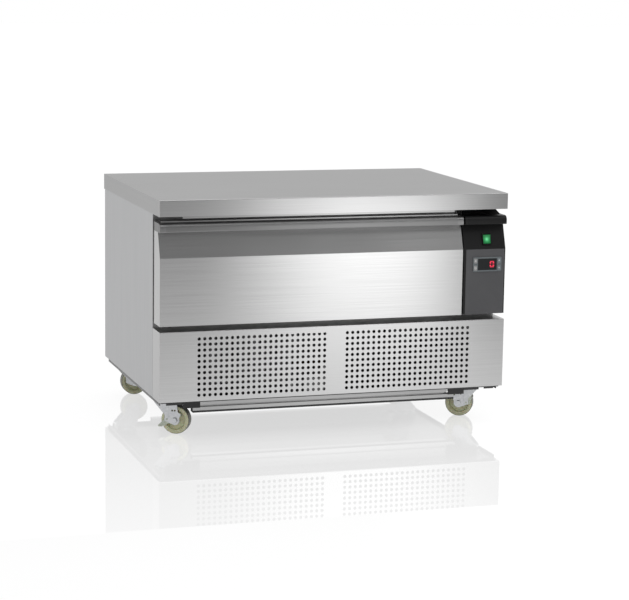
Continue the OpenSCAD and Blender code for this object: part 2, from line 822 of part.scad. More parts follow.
// Pan frame: a folded frame that carries two gastronorm pans by their rims
module pan_frame() {
    t = frame_t;
    down = 14;
    hole = [frame_mid - pan_x, frame_front + frame_rim, frame_mid + pan_x, frame_back - frame_rim];
    color(bright_steel) {
        difference() {
            span([frame_x0, frame_front, frame_z0], [frame_x1, frame_back, frame_z1]);
            span([frame_x0 + t, frame_front + t, frame_z0 - 1],
                [frame_x1 - t, frame_back - t, frame_z1 - t]);
            span([hole[0], hole[1], frame_z0], [hole[2], hole[3], frame_z1 + 1]);
        }
        difference() {
            span([hole[0] - t, hole[1] - t, frame_z1 - down],
                [hole[2] + t, hole[3] + t, frame_z1 - t + small]);
            span([hole[0], hole[1], frame_z1 - down - 1], [hole[2], hole[3], frame_z1]);
        }
    }
}

module pan_divider() {
    t = frame_t;
    down = 14;
    w = divider_w / 2;
    color(bright_steel) translate([frame_mid, 0, frame_z1])
        along_y(frame_front + frame_rim, frame_back - frame_rim)
            polygon([[-w, -down], [-w + t, -down], [-w + t, -t], [w - t, -t], [w - t, -down], [w, -down],
                [w, 0], [-w, 0]]);
}

// Control housing: a moulded cover with the drawer's front profile and a raised cap behind the lip
housing_t = 2.5;
housing_set = control_set + plate_t;
housing_back = cab_front;
cut_play = 0.2;
body_w = 71;
body_h = 29;

module on_slope() {
    translate([control_mid, rocker_y, rocker_z]) rotate([-slope_angle, 0, 0]) children();
}

module control_housing() {
    t = housing_t;
    cap_y = cab_front - 27;
    cap_z = drawer_z1 + 11;
    color(black_plastic) difference() {
        union() {
            along_x(control_x0, side_x) polygon(front_outline(housing_set, 0, housing_back));
            along_x(control_x0, side_x) polygon(lip_outline(0, housing_back));
            intersection() {
                along_x(control_x0 + 4, side_x - 3) polygon([[cap_y - 10, drawer_z1 - small],
                    [cap_y, cap_z], [housing_back, cap_z], [housing_back, drawer_z1 - small]]);
                along_y(cap_y - 11, housing_back) polygon([[control_x0 + 4, drawer_z1 - small],
                    [control_x0 + 10, cap_z], [side_x - 11, cap_z], [side_x - 3, drawer_z1 - small]]);
            }
        }
        along_x(control_x0 + t, side_x - t) polygon(front_outline(housing_set, t, housing_back + 1));
        along_x(control_x0 + t, side_x - t) polygon(lip_outline(t, housing_back + 1));
        control_cut();
        on_slope() cube([rocker_body_w + cut_play * 2, 30, rocker_body_h + cut_play * 2],
            center = true);
    }
}

module control_cut() {
    w = body_w / 2 + cut_play;
    h = body_h / 2 + cut_play;
    span([control_mid - w, control_face - 5, controller_z - h],
        [control_mid + w, cab_front - 1, controller_z + h]);
}

// Control plate: the grey face laid on the housing, with the controller's cut-out
module control_plate() {
    edge = 3;
    color(grey_plastic) difference() {
        along_y(control_face, control_face + plate_t) polygon(rounded(control_x0 + edge + 3, drawer_z0,
            side_x - edge, slope_z0 - 1, 2));
        control_cut();
    }
}

// Controller: a front bezel with key pockets and a window recess, and its body behind the plate
pocket_d = controller_proud - 0.5;
key_proud = 0.5;
key_t = pocket_d - key_stroke - 0.1 + key_proud;
window_t = 0.9;

module key_places() {
    for (x = [-key_x, key_x], z = [-key_z, key_z])
        translate([control_mid + x, controller_y, controller_z + z]) children();
}

module controller_body() {
    w = controller_w / 2;
    h = controller_h / 2;
    color("#77797b") difference() {
        union() {
            translate([control_mid, 0, controller_z]) along_y(controller_y, control_face)
                polygon(rounded(-w, -h, w, h, 3));
            translate([control_mid, 0, controller_z])
                along_y(control_face - small, control_face + 55) polygon(rounded(-body_w / 2, -body_h / 2,
                    body_w / 2, body_h / 2, 1.5));
        }
        translate([control_mid, 0, controller_z]) along_y(controller_y - 1, controller_y + window_t)
            polygon(rounded(-window_w / 2, -window_h / 2, window_w / 2, window_h / 2, 1));
        key_places() span([-key_w / 2 - key_play, -1, -key_h / 2 - key_play],
            [key_w / 2 + key_play, pocket_d, key_h / 2 + key_play]);
    }
}

module display_window() {
    color("#22282b") translate([control_mid, 0, controller_z]) along_y(controller_y, controller_y + window_t)
        polygon(rounded(-window_w / 2, -window_h / 2, window_w / 2, window_h / 2, 1));
}

module key(x, z) {
    color("#8d9092") translate([control_mid + x * key_x, controller_y - key_proud, controller_z + z * key_z])
        along_y(0, key_t) polygon(rounded(-key_w / 2, -key_h / 2, key_w / 2, key_h / 2, 1.5));
}

module key_set() {
    key(-1, 1);
}

module key_power() {
    key(-1, -1);
}

module key_up() {
    key(1, 1);
}

module key_down() {
    key(1, -1);
}

// Power rocker: a bezel with its snap-in body on the slope, and the rocker on two side pins
bezel_t = 2.2;
rocker_tilt = 8;
rocker_pivot = 3;
rocker_rise = 3;
rocker_pin_r = 1.5;
rocker_depth = 9;
rocker_open = norm([rocker_h / 2, rocker_rise + rocker_pivot]) + rocker_play;
rocker_body_w = rocker_w + rocker_play * 2 + 3;
rocker_body_h = rocker_open * 2 + 2;

module rocker_bezel() {
    w = bezel_w / 2;
    h = bezel_h / 2;
    open_w = rocker_w + rocker_play * 2;
    color(black_plastic) on_slope() difference() {
        union() {
            along_y(-bezel_t, 0) polygon(rounded(-w, -h, w, h, 2));
            span([-rocker_body_w / 2, -small, -rocker_body_h / 2], [rocker_body_w / 2, rocker_depth + 8,
                rocker_body_h / 2]);
        }
        span([-open_w / 2, -bezel_t - 1, -rocker_open], [open_w / 2, rocker_depth, rocker_open]);
        translate([0, rocker_pivot, 0]) rotate([0, 90, 0])
            cylinder(h = open_w + 2.4, r = rocker_pin_r + pin_play, center = true, $fn = 24);
    }
}

module rocker_switch() {
    h = rocker_h / 2;
    color("#1f9b55") on_slope() translate([0, rocker_pivot, 0]) rotate([rocker_tilt, 0, 0]) {
        translate([0, -rocker_pivot, 0]) along_x(-rocker_w / 2, rocker_w / 2)
            polygon([[-rocker_rise, -h], [-rocker_rise + 1.6, 0], [-rocker_rise, h], [-0.5, h],
                [rocker_pivot + 3, 3], [rocker_pivot + 3, -3], [-0.5, -h]]);
        rotate([0, 90, 0])
            cylinder(h = rocker_w + rocker_play * 2 + 1.8, r = rocker_pin_r, center = true, $fn = 24);
    }
}

// Compressor: a welded shell on a foot plate, with terminal cover and pipe stubs
mount_x = 68;
mount_y = 52;
foot_t = 3;

module compressor() {
    r = compressor_r;
    h = compressor_h;
    cover_z = [40, 100];
    color("#2b2c2e") translate([compressor_at[0], compressor_at[1], compressor_z]) difference() {
        union() {
            rotate_extrude($fn = fine_n) polygon(concat([[0, 0]], arc([r - 20, 20], 20, 270, 360),
                [[r, h * 0.52], [r + 3, h * 0.52], [r + 3, h * 0.52 + 5], [r, h * 0.52 + 5]],
                arc([r - 34, h - 34], 34, 0, 90), [[0, h]]));
            linear_extrude(foot_t)
                polygon(rounded(-mount_x - 14, -mount_y - 14, mount_x + 14, mount_y + 14, 12));
            span([-r - 16, -24, cover_z[0]], [-r + 14, 24, cover_z[1]]);
            for (x = [-30, 30])
                translate([x, -r + 20, h - 30]) cylinder(h = 44, r = 4.5, $fn = 24);
        }
        for (x = [-mount_x, mount_x], y = [-mount_y, mount_y])
            translate([x, y, -1]) cylinder(h = foot_t + 2, r = 7, $fn = round_n);
    }
}

// Compressor mounts: four rubber grommets with their studs' heads
module compressor_mounts() {
    gap = compressor_z - floor_top;
    color("#1a1b1c") for (x = [-mount_x, mount_x], y = [-mount_y, mount_y])
        translate([compressor_at[0] + x, compressor_at[1] + y, floor_top])
            rotate_extrude($fn = round_n) polygon([[4, 0], [13, 0], [11, gap * 0.5], [13, gap], [6.9, gap],
                [6.9, gap + foot_t], [11, gap + foot_t], [9, gap + foot_t + 4], [0, gap + foot_t + 4],
                [0, gap + foot_t], [4, gap + foot_t]]);
}

// Condenser: coil, shroud, motor and fan behind the base panel's left field of holes
module condenser_coil() {
    foot_in = 24;
    color("#3b3d3f") {
        fin_coil([coil_x[0], coil_y[0], coil_z[0]], [coil_x[1], coil_y[1], coil_z[1]], 7, 3, 4.5);
        for (x = [coil_x[0] + foot_in, coil_x[1] - foot_in])
            span([x - 8, coil_y[0], floor_top], [x + 8, coil_y[1], coil_z[0] + small]);
    }
}

shroud_y = coil_y[1];
shroud_in = 20;

module condenser_fan_shroud() {
    ring_r = fan_d / 2 + tip_gap;
    wall = 1.5;
    x0 = coil_x[0] + shroud_in;
    x1 = coil_x[1] - shroud_in;
    color(dark_steel) {
        difference() {
            span([x0, shroud_y, floor_top], [x1, motor_y, coil_z[1]]);
            span([x0 + wall, shroud_y - 1, floor_top - 1], [x1 - wall, motor_y - wall, coil_z[1] - wall]);
            translate([fan_x, motor_y + 1, fan_z]) rotate([90, 0, 0])
                cylinder(h = shroud_t + 2, r = ring_r, $fn = fine_n);
        }
        translate([fan_x, motor_y, fan_z]) rotate([90, 0, 0]) difference() {
            cylinder(h = shroud_t - 3, r = ring_r + wall, $fn = fine_n);
            translate([0, 0, -1]) cylinder(h = shroud_t, r = ring_r, $fn = fine_n);
        }
    }
}

motor_r = 27;
motor_l = 46;
shaft_r = 3;
rotor_y = shroud_y + shroud_t / 2;

module condenser_fan_motor() {
    arm = fan_d / 2 + 12;
    color("#4a4c4e") translate([fan_x, motor_y, fan_z]) rotate([-90, 0, 0]) {
        translate([0, 0, 4]) cylinder(h = motor_l, r = motor_r, $fn = round_n);
        translate([0, 0, 4 + motor_l]) cylinder(h = 4, r = motor_r * 0.55, $fn = round_n);
        for (i = [0:3])
            rotate([0, 0, 45 + i * 90]) {
                translate([0, -5, 2]) cube([arm, 10, 2.5]);
                translate([arm - 10, -5, 0]) cube([10, 10, 2 + small]);
            }
        translate([0, 0, -shroud_t + 2]) cylinder(h = shroud_t + 4, r = shaft_r, $fn = 24);
    }
}

module condenser_fan_rotor() {
    color(black_plastic) translate([fan_x, rotor_y, fan_z]) rotate([90, 0, 0])
        fan_rotor(fan_d, 20, 12, fan_blades, 22, shaft_r + pin_play);
}

// Filter drier: a copper cartridge with drawn ends, lying on the chassis floor
drier_x0 = compressor_at[0] - 230;

module filter_drier() {
    r = 12.5;
    color(copper) translate([drier_x0, 40, floor_top + r]) rotate([0, 90, 0])
        rotate_extrude($fn = round_n)
            polygon([[0, 0], [3, 0], [3, 12], [r, 24], [r, 104], [3, 116], [3, 128], [0, 128]]);
}

// Evaporation tray: an open tray for the melt water behind the condenser
tray_y1 = rear_rail_y + rail_d;
tray = [coil_x[0] + 10, tray_y1 - 210, drier_x0 - 40, tray_y1];
tray_h = 46;

module evaporation_tray() {
    wall = 2.5;
    color(black_plastic) translate([0, 0, floor_top]) difference() {
        linear_extrude(tray_h) polygon(rounded(tray[0], tray[1], tray[2], tray[3], 14));
        translate([0, 0, wall]) linear_extrude(tray_h) polygon(rounded(tray[0] + wall, tray[1] + wall,
            tray[2] - wall, tray[3] - wall, 11.5));
    }
}

// Terminal box: the electrical connections, with a lipped lid
module terminal_box() {
    x0 = side_x - 143;
    y0 = -150;
    color(grey_plastic) translate([0, 0, floor_top]) {
        linear_extrude(66) polygon(rounded(x0, y0, x0 + 96, y0 + 112, 5));
        translate([0, 0, 66 - small]) linear_extrude(10)
            polygon(rounded(x0 - 2, y0 - 2, x0 + 98, y0 + 114, 7));
    }
}

// Casters: the frame of each is its swivel axis on the floor, with +X towards the wheel
module caster_at(side, y, turn = 0) {
    translate([side * caster_x, y, 0]) rotate([0, 0, (side > 0 ? 180 : 0) + turn]) children();
}

function turn_at(y) = y < 0 ? front_turn : 0;

module caster_places() {
    for (side = [-1, 1], y = [front_caster_y, rear_caster_y])
        caster_at(side, y) children();
}

// Caster plates: top plate, raceway boss and kingpin with its nut
module caster_plates() {
    nut_z0 = crown_z - 5;
    color(zinc) caster_places() {
        difference() {
            union() {
                translate([0, 0, caster_h - caster_plate_t]) linear_extrude(caster_plate_t)
                    polygon(rounded(-plate_w / 2, -plate_l / 2, plate_w / 2, plate_l / 2, 6));
                translate([0, 0, race_z0]) cylinder(h = 3 + small, r = dish_r - 2, $fn = round_n);
            }
            for (x = [-bolt_x, bolt_x], y = [-bolt_y, bolt_y])
                translate([x, y, race_z0 - 1]) cylinder(h = caster_plate_t + 5, r = bolt_r + 0.2, $fn = 24);
        }
        translate([0, 0, nut_z0]) cylinder(h = race_z0 - nut_z0 + 1, r = kingpin_r, $fn = round_n);
        translate([0, 0, nut_z0]) cylinder(h = 4.5, r = 9, $fn = 6);
    }
}

// Caster bolts: hexagon bolts through plate and chassis floor, each with its nut
module caster_bolts() {
    color(zinc) caster_places() for (x = [-bolt_x, bolt_x], y = [-bolt_y, bolt_y])
        translate([x, y, 0]) {
            translate([0, 0, caster_h - caster_plate_t - 4]) cylinder(h = 4, r = 7, $fn = 6);
            translate([0, 0, caster_h - caster_plate_t - small]) cylinder(h = 13, r = bolt_r, $fn = 24);
            translate([0, 0, floor_top]) cylinder(h = 5, r = 7, $fn = 6);
        }
}

// Fork: dished raceway cover, crown and two pressed legs, with the axle bolt and nut.
// Each leg is thick round the axle and thinner in its outboard gusset, with a fold between them.
leg_top = crown_z + crown_t;
leg_in = 30;
leg_out = -30;
fold_s = 10;
leg_eye = 12;
wheel_gap = 0.4;
leg_outline = concat([[leg_out, leg_top], [leg_out + 1, leg_top - 4.5], [pedal_s - 6, pedal_z + 12],
    [pedal_s - 6, pedal_z - 3], [pedal_s + 4, pedal_z - 8], [caster_offset - 12, axle_z - 9]],
    arc([caster_offset, axle_z], leg_eye, 225, 375),
    [[leg_in + 12, axle_z + 16.5], [leg_in + 4, axle_z + 22.5], [leg_in, leg_top]]);

module fork(side, y) {
    z1 = crown_z + crown_t;
    out = leg_y + fork_t / 2;
    guard_y = wheel_w / 2 + wheel_gap;
    pin_r = pedal_pin_r + pin_play;
    color(zinc) caster_at(side, y, turn_at(y)) {
        difference() {
            union() {
                for (s = [-1, 1]) {
                    translate([0, s * leg_y, 0]) along_y(-fork_t / 2, fork_t / 2) polygon(leg_outline);
                    translate([caster_offset, s * guard_y, axle_z]) rotate([-90 * s, 0, 0])
                        cylinder(h = leg_y - fork_t / 2 - guard_y + small, r = guard_r, $fn = round_n);
                }
                span([leg_out, -out, crown_z], [leg_in, out, z1]);
                rotate_extrude($fn = round_n) polygon([[0, z1 - small], [dish_r, z1 - small],
                    [dish_r, z1 + 2], [dish_r - 4, dish_z1], [0, dish_z1]]);
            }
            translate([0, 0, crown_z - 1]) cylinder(h = 20, r = kingpin_r + pin_play, $fn = round_n);
            translate([caster_offset, 0, axle_z]) rotate([90, 0, 0])
                cylinder(h = 60, r = axle_r + 0.1, center = true, $fn = round_n);
            for (s = [-1, 1]) {
                span([leg_out - 1, s * (out - gusset_step / 2) - gusset_step / 2 - small, 0],
                    [fold_s, s * (out - gusset_step / 2) + gusset_step / 2 + small, crown_z]);
                span([fold_s - 0.5, s * (out - 0.8) - 0.8, axle_z + 8],
                    [fold_s + 1.5, s * (out - 0.8) + 0.8, crown_z - 2]);
            }
            if (y < 0) {
                translate([pedal_s, 0, pedal_z]) rotate([90, 0, 0])
                    cylinder(h = 60, r = pin_r, center = true, $fn = 24);
                for (x = [fold_s + 9, fold_s + 16])
                    translate([x, 0, axle_z + 26]) rotate([90, 0, 0])
                        cylinder(h = 60, r = 2.5, center = true, $fn = 24);
            }
        }
        translate([caster_offset, 0, axle_z]) rotate([90, 0, 0]) {
            cylinder(h = out * 2 + 10, r = axle_r, center = true, $fn = round_n);
            for (s = [-1, 1])
                translate([0, 0, s * (out + 2.7)]) cylinder(h = 5, r = 7.5, center = true, $fn = 6);
        }
    }
}

module fork_front_left() {
    fork(-1, front_caster_y);
}

module fork_front_right() {
    fork(1, front_caster_y);
}

module fork_rear_left() {
    fork(-1, rear_caster_y);
}

module fork_rear_right() {
    fork(1, rear_caster_y);
}

// Wheel: a cast hub with a web and a tyre with rounded shoulders
module wheel(side, y) {
    r = wheel_d / 2;
    half = wheel_w / 2;
    rim = r - 7;
    color(cream) caster_at(side, y, turn_at(y)) translate([caster_offset, 0, axle_z]) rotate([90, 0, 0]) {
        rotate_extrude($fn = fine_n) polygon([[axle_r + pin_play, -half], [11, -half], [12, -6],
            [rim - 5, -4], [rim - 3, -half + 1], [rim, -half + 1], [rim, half - 1], [rim - 3, half - 1],
            [rim - 5, 4], [12, 6], [11, half], [axle_r + pin_play, half]]);
        rotate_extrude($fn = fine_n) polygon(concat([[rim, -half]], arc([r - 4, -half + 4], 4, 270, 360),
            arc([r - 4, half - 4], 4, 0, 90), [[rim, half]]));
    }
}

module wheel_front_left() {
    wheel(-1, front_caster_y);
}

module wheel_front_right() {
    wheel(1, front_caster_y);
}

module wheel_rear_left() {
    wheel(-1, rear_caster_y);
}

module wheel_rear_right() {
    wheel(1, rear_caster_y);
}

// Brake pedals of the front casters: the left one is pressed down, the right one is flipped up
pedal_pin_r = 2.5;
pedal_release = 110;
pedal_arm_t = 1.6;
pedal_gap = 1.3;
pedal_eye = 6;
pedal_tip = [-24, -18.5];
pedal_plate_l = 10;
pedal_outline = concat(arc([0, 0], pedal_eye, 20, 130), [[-9.3, -2.1], [pedal_tip[0], pedal_tip[1] + 2],
    pedal_tip, [-6, pedal_tip[1]]], arc([4.1, -7.4], 3.6, 250, 380));

module brake_pedal(side, lift) {
    arm_y = wheel_w / 2 + pedal_gap + pedal_arm_t / 2;
    out = arm_y + pedal_arm_t / 2;
    pin_in = arm_y - pedal_arm_t / 2;
    pin_out = leg_y + fork_t / 2;
    color(zinc) caster_at(side, front_caster_y, front_turn)
    translate([pedal_s, 0, pedal_z]) rotate([0, lift, 0]) {
        for (s = [-1, 1]) {
            translate([0, s * arm_y, 0]) along_y(-pedal_arm_t / 2, pedal_arm_t / 2) polygon(pedal_outline);
            translate([0, s * (pin_in + pin_out) / 2, 0]) rotate([90, 0, 0])
                cylinder(h = pin_out - pin_in, r = pedal_pin_r, center = true, $fn = 24);
        }
        span([pedal_tip[0], -out, pedal_tip[1] - 2],
            [pedal_tip[0] + pedal_plate_l, out, pedal_tip[1] + small]);
    }
}

module brake_pedal_left() {
    brake_pedal(-1, 0);
}

module brake_pedal_right() {
    brake_pedal(1, pedal_release);
}

worktop();
worktop_core();
left_side_panel();
right_side_panel();
back_panel();
mid_deck();
front_frame();
compartment_liner();
insulation();
evaporator_cover();
evaporator_coil();
evaporator_fan_frame();
evaporator_fan_rotor();
fixed_runners();
chassis_pan();
front_cross_rail();
rear_cross_rail();
base_panel();
control_housing();
control_plate();
controller_body();
display_window();
key_up();
key_down();
key_set();
key_power();
rocker_bezel();
rocker_switch();
compressor();
compressor_mounts();
condenser_coil();
condenser_fan_shroud();
condenser_fan_motor();
condenser_fan_rotor();
filter_drier();
evaporation_tray();
terminal_box();
cord_grommet();
caster_plates();
caster_bolts();
drawer_front_skin();
drawer_front_core();
drawer_handle();
drawer_handle_caps();
drawer_inner_panel();
drawer_gasket();
pan_frame();
pan_divider();
drawer_runners();
middle_runners();
fork_front_left();
fork_front_right();
fork_rear_left();
fork_rear_right();
wheel_front_left();
wheel_front_right();
wheel_rear_left();
wheel_rear_right();
brake_pedal_left();
brake_pedal_right();
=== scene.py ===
import math

import bpy
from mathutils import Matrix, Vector


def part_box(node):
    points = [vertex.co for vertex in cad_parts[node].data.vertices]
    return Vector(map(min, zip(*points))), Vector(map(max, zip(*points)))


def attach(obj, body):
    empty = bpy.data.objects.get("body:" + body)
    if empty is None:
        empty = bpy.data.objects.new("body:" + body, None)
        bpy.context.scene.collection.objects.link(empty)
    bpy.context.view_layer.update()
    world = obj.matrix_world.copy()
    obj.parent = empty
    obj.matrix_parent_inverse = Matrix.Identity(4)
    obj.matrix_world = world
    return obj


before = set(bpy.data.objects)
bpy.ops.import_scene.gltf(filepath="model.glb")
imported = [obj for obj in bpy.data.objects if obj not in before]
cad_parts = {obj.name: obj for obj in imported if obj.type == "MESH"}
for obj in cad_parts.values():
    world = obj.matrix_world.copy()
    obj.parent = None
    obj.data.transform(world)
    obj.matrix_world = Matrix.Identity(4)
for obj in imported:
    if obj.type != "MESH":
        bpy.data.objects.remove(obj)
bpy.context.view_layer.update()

bl_info = {
    "name": "Refrigerated drawer unit",
    "version": (1, 0, 0),
    "blender": (4, 5, 0),
    "location": "View3D > Sidebar > Drawer Unit",
    "description": "Finishes and small parts of a refrigerated drawer unit on casters",
    "category": "Object",
}

MM = 0.001
ALONG_X, ALONG_Y, ALONG_Z = 0, 1, 2


def linear(code):
    """An sRGB hex colour as linear RGBA."""
    parts = [int(code[i:i + 2], 16) / 255 for i in (1, 3, 5)]
    channels = [p / 12.92 if p <= 0.04045 else ((p + 0.055) / 1.055) ** 2.4 for p in parts]
    return (*channels, 1.0)


def add(tree, kind, sockets=None, **settings):
    """Adds a node; a socket takes a value or the output that feeds it."""
    made = tree.nodes.new(kind)
    for name, value in settings.items():
        setattr(made, name, value)
    for name, value in (sockets or {}).items():
        if isinstance(value, bpy.types.NodeSocket):
            tree.links.new(value, made.inputs[name])
        else:
            made.inputs[name].default_value = value
    return made


def start_finish(name, **constants):
    """A new material with its shader, whose constants are set on the shader's own sockets."""
    material = bpy.data.materials.new(name)
    material.use_nodes = True
    tree = material.node_tree
    tree.nodes.clear()
    shader = add(tree, "ShaderNodeBsdfPrincipled")
    for socket, value in constants.items():
        shader.inputs[socket.replace("_", " ")].default_value = value
    add(tree, "ShaderNodeOutputMaterial", {"Surface": shader.outputs[0]})
    return material, tree, shader


def stretched_coordinates(tree, scale, place=(0.0, 0.0, 0.0)):
    """Object coordinates about a place, scaled along each axis."""
    coordinates = add(tree, "ShaderNodeTexCoord")
    offset = tuple(-p * s for p, s in zip(place, scale))
    mapping = add(tree, "ShaderNodeMapping", {
        "Vector": coordinates.outputs["Object"], "Scale": scale, "Location": offset})
    return mapping.outputs[0]


def two_tone(tree, factor, first, second):
    """A colour between two others."""
    mixed = add(tree, "ShaderNodeMix", {0: factor, 6: first, 7: second}, data_type="RGBA")
    return mixed.outputs[2]


def ranged(tree, value, low, high, start=0.0, end=1.0):
    """A value brought from start..end to low..high."""
    mapped = add(tree, "ShaderNodeMapRange", {
        "Value": value, "From Min": start, "From Max": end, "To Min": low, "To Max": high})
    return mapped.outputs[0]


def noise(tree, scale, detail=2.0):
    """Noise on Object coordinates, scaled along each axis."""
    made = add(tree, "ShaderNodeTexNoise", {
        "Vector": stretched_coordinates(tree, scale), "Scale": 1.0, "Detail": detail})
    return made.outputs[0]


def bumped(tree, shader, height, depth_mm, strength):
    """Feeds a height into the shader's normal."""
    bump = add(tree, "ShaderNodeBump", {
        "Height": height, "Distance": depth_mm * MM, "Strength": strength})
    tree.links.new(bump.outputs[0], shader.inputs["Normal"])


def brushed_stainless(name, colour, shade, grain_axis, roughness=0.26, edge_tint=0.75):
    """Stainless sheet ground with a belt: fine straight lines along one axis, a satin sheen that is
    drawn out across them, and faint clouds from handling. Real lines are about 0.1 mm apart, too fine
    to show, so they are drawn 1.5 mm apart."""
    material, tree, shader = start_finish(
        name, Metallic=1.0, Anisotropic=0.5, Specular_Tint=(edge_tint, edge_tint, edge_tint, 1.0))
    across = 1 / (1.5 * MM)
    along = 1 / (300 * MM)
    lines = add(tree, "ShaderNodeTexNoise", {
        "Vector": stretched_coordinates(tree, [along if i == grain_axis else across for i in range(3)]),
        "Scale": 1.0, "Detail": 3.0, "Roughness": 0.55})
    clouds = noise(tree, (3.0, 3.0, 5.0), 1.0)
    tone = ranged(tree, lines.outputs[0], -0.6, 1.6, 0.3, 0.7)
    base = two_tone(tree, tone, linear(shade), linear(colour))
    tree.links.new(base, shader.inputs["Base Color"])
    spread = ranged(tree, clouds, roughness - 0.02, roughness + 0.02, 0.3, 0.7)
    rough = add(tree, "ShaderNodeMath", {
        0: spread, 1: ranged(tree, lines.outputs[0], -0.03, 0.03)}, operation="ADD")
    tree.links.new(rough.outputs[0], shader.inputs["Roughness"])
    # Slightly off its axis, so that faces square to the lines still get a tangent.
    grain = [1.0 if i == grain_axis else 0.02 * (i == (grain_axis + 2) % 3) for i in range(3)]
    facing = add(tree, "ShaderNodeNewGeometry").outputs["Normal"]
    across_grain = add(tree, "ShaderNodeVectorMath", {0: facing, 1: grain}, operation="CROSS_PRODUCT")
    tree.links.new(across_grain.outputs[0], shader.inputs["Tangent"])
    return material


def moulded_plastic(name, colour, shade, roughness=0.45, grain_mm=0.9, depth_mm=0.02, gloss=0.5):
    """Injection moulded ABS with a fine spark-eroded grain: an even satin that breaks up highlights."""
    material, tree, shader = start_finish(name, IOR=1.5, Specular_IOR_Level=gloss)
    grain = noise(tree, [1 / (grain_mm * MM)] * 3, 2.0)
    wear = noise(tree, (11.0, 11.0, 9.0), 3.0)
    base = two_tone(tree, ranged(tree, wear, 0.0, 1.0, 0.35, 0.65), linear(shade), linear(colour))
    tree.links.new(base, shader.inputs["Base Color"])
    tree.links.new(ranged(tree, wear, roughness - 0.05, roughness + 0.05), shader.inputs["Roughness"])
    bumped(tree, shader, grain, depth_mm, 0.4)
    return material


def zinc_plated(name, colour, shade, tint, roughness=0.32, spangle_mm=7.0):
    """Plated or bare sheet metal, most of it pressed steel with bright passivated zinc: a cool silver
    with faint bluish and yellowish patches. With other colours it is the fins, the deck and the drier."""
    material, tree, shader = start_finish(name, Metallic=1.0)
    coordinates = stretched_coordinates(tree, [1 / (spangle_mm * MM)] * 3)
    patches = add(tree, "ShaderNodeTexVoronoi", {
        "Vector": coordinates, "Scale": 1.0, "Randomness": 1.0}).outputs["Distance"]
    haze = add(tree, "ShaderNodeTexNoise", {
        "Vector": coordinates, "Scale": 0.5, "Detail": 3.0}).outputs[0]
    base = two_tone(tree, ranged(tree, patches, 0.0, 1.0, 0.1, 0.7), linear(colour), linear(shade))
    tinted = two_tone(tree, ranged(tree, haze, 0.0, 0.6, 0.45, 0.75), base, linear(tint))
    tree.links.new(tinted, shader.inputs["Base Color"])
    tree.links.new(ranged(tree, haze, roughness - 0.07, roughness + 0.09), shader.inputs["Roughness"])
    bumped(tree, shader, haze, 0.03, 0.3)
    return material


def enamelled(name, colour, shade, roughness=0.3, peel_mm=2.5):
    """Stoved enamel on steel: a smooth gloss with a slight orange peel."""
    material, tree, shader = start_finish(name, IOR=1.5, Coat_Weight=0.3)
    peel = noise(tree, [1 / (peel_mm * MM)] * 3, 1.0)
    dust = noise(tree, (14.0,) * 3)
    base = two_tone(tree, ranged(tree, dust, 0.0, 1.0, 0.4, 0.7), linear(colour), linear(shade))
    tree.links.new(base, shader.inputs["Base Color"])
    tree.links.new(ranged(tree, dust, roughness, roughness + 0.15), shader.inputs["Roughness"])
    bumped(tree, shader, peel, 0.04, 0.3)
    return material


def soft_rubber(name, colour, shade, roughness=0.75):
    """Vulcanised rubber or soft PVC: dull, with a dusty bloom in patches."""
    material, tree, shader = start_finish(name, IOR=1.52, Sheen_Weight=0.1)
    bloom = noise(tree, (40.0,) * 3, 4.0)
    base = two_tone(tree, ranged(tree, bloom, 0.0, 1.0, 0.4, 0.7), linear(colour), linear(shade))
    tree.links.new(base, shader.inputs["Base Color"])
    tree.links.new(ranged(tree, bloom, roughness - 0.08, roughness + 0.1), shader.inputs["Roughness"])
    bumped(tree, shader, bloom, 0.08, 0.3)
    return material


def rigid_foam(name, colour, shade):
    """Polyurethane foam: straw yellow, with closed cells under a millimetre wide, drawn at two."""
    material, tree, shader = start_finish(name, IOR=1.4, Roughness=0.95)
    per_metre = 1 / (2 * MM)
    cells = add(tree, "ShaderNodeTexVoronoi", {
        "Vector": stretched_coordinates(tree, (per_metre,) * 3), "Scale": 1.0}).outputs["Distance"]
    base = two_tone(tree, ranged(tree, cells, 0.0, 1.0, 0.0, 0.6), linear(shade), linear(colour))
    tree.links.new(base, shader.inputs["Base Color"])
    bumped(tree, shader, cells, 0.3, 0.6)
    return material


def cast_nylon_wheel(name, colour, shade, rim_shade, centre, wheel_r, axle):
    """Cast polyamide wheel, creamy and slightly waxy, with a dark ring painted past its rim: painted shade
    along the wheel's outline.
    """
    material, tree, shader = start_finish(name, IOR=1.53, Subsurface_Weight=0.12, Subsurface_Scale=0.004)
    place = stretched_coordinates(tree, (1.0, 1.0, 1.0), centre)
    across = add(tree, "ShaderNodeVectorMath", {0: place, 1: axle}, operation="CROSS_PRODUCT")
    radius = add(tree, "ShaderNodeVectorMath", {
        0: across.outputs[0]}, operation="LENGTH").outputs["Value"]
    mottle = noise(tree, (160.0,) * 3, 3.0)
    cream = two_tone(tree, ranged(tree, mottle, 0.0, 1.0, 0.35, 0.7), linear(colour), linear(shade))
    # The dark ring near the rim is painted shade, not a colour of the nylon.
    edge = ranged(tree, radius, 0.0, 1.0, wheel_r - 1.9 * MM, wheel_r - 1.1 * MM)
    tree.links.new(two_tone(tree, edge, cream, linear(rim_shade)), shader.inputs["Base Color"])
    tree.links.new(ranged(tree, mottle, 0.38, 0.55), shader.inputs["Roughness"])
    bumped(tree, shader, mottle, 0.05, 0.3)
    return material


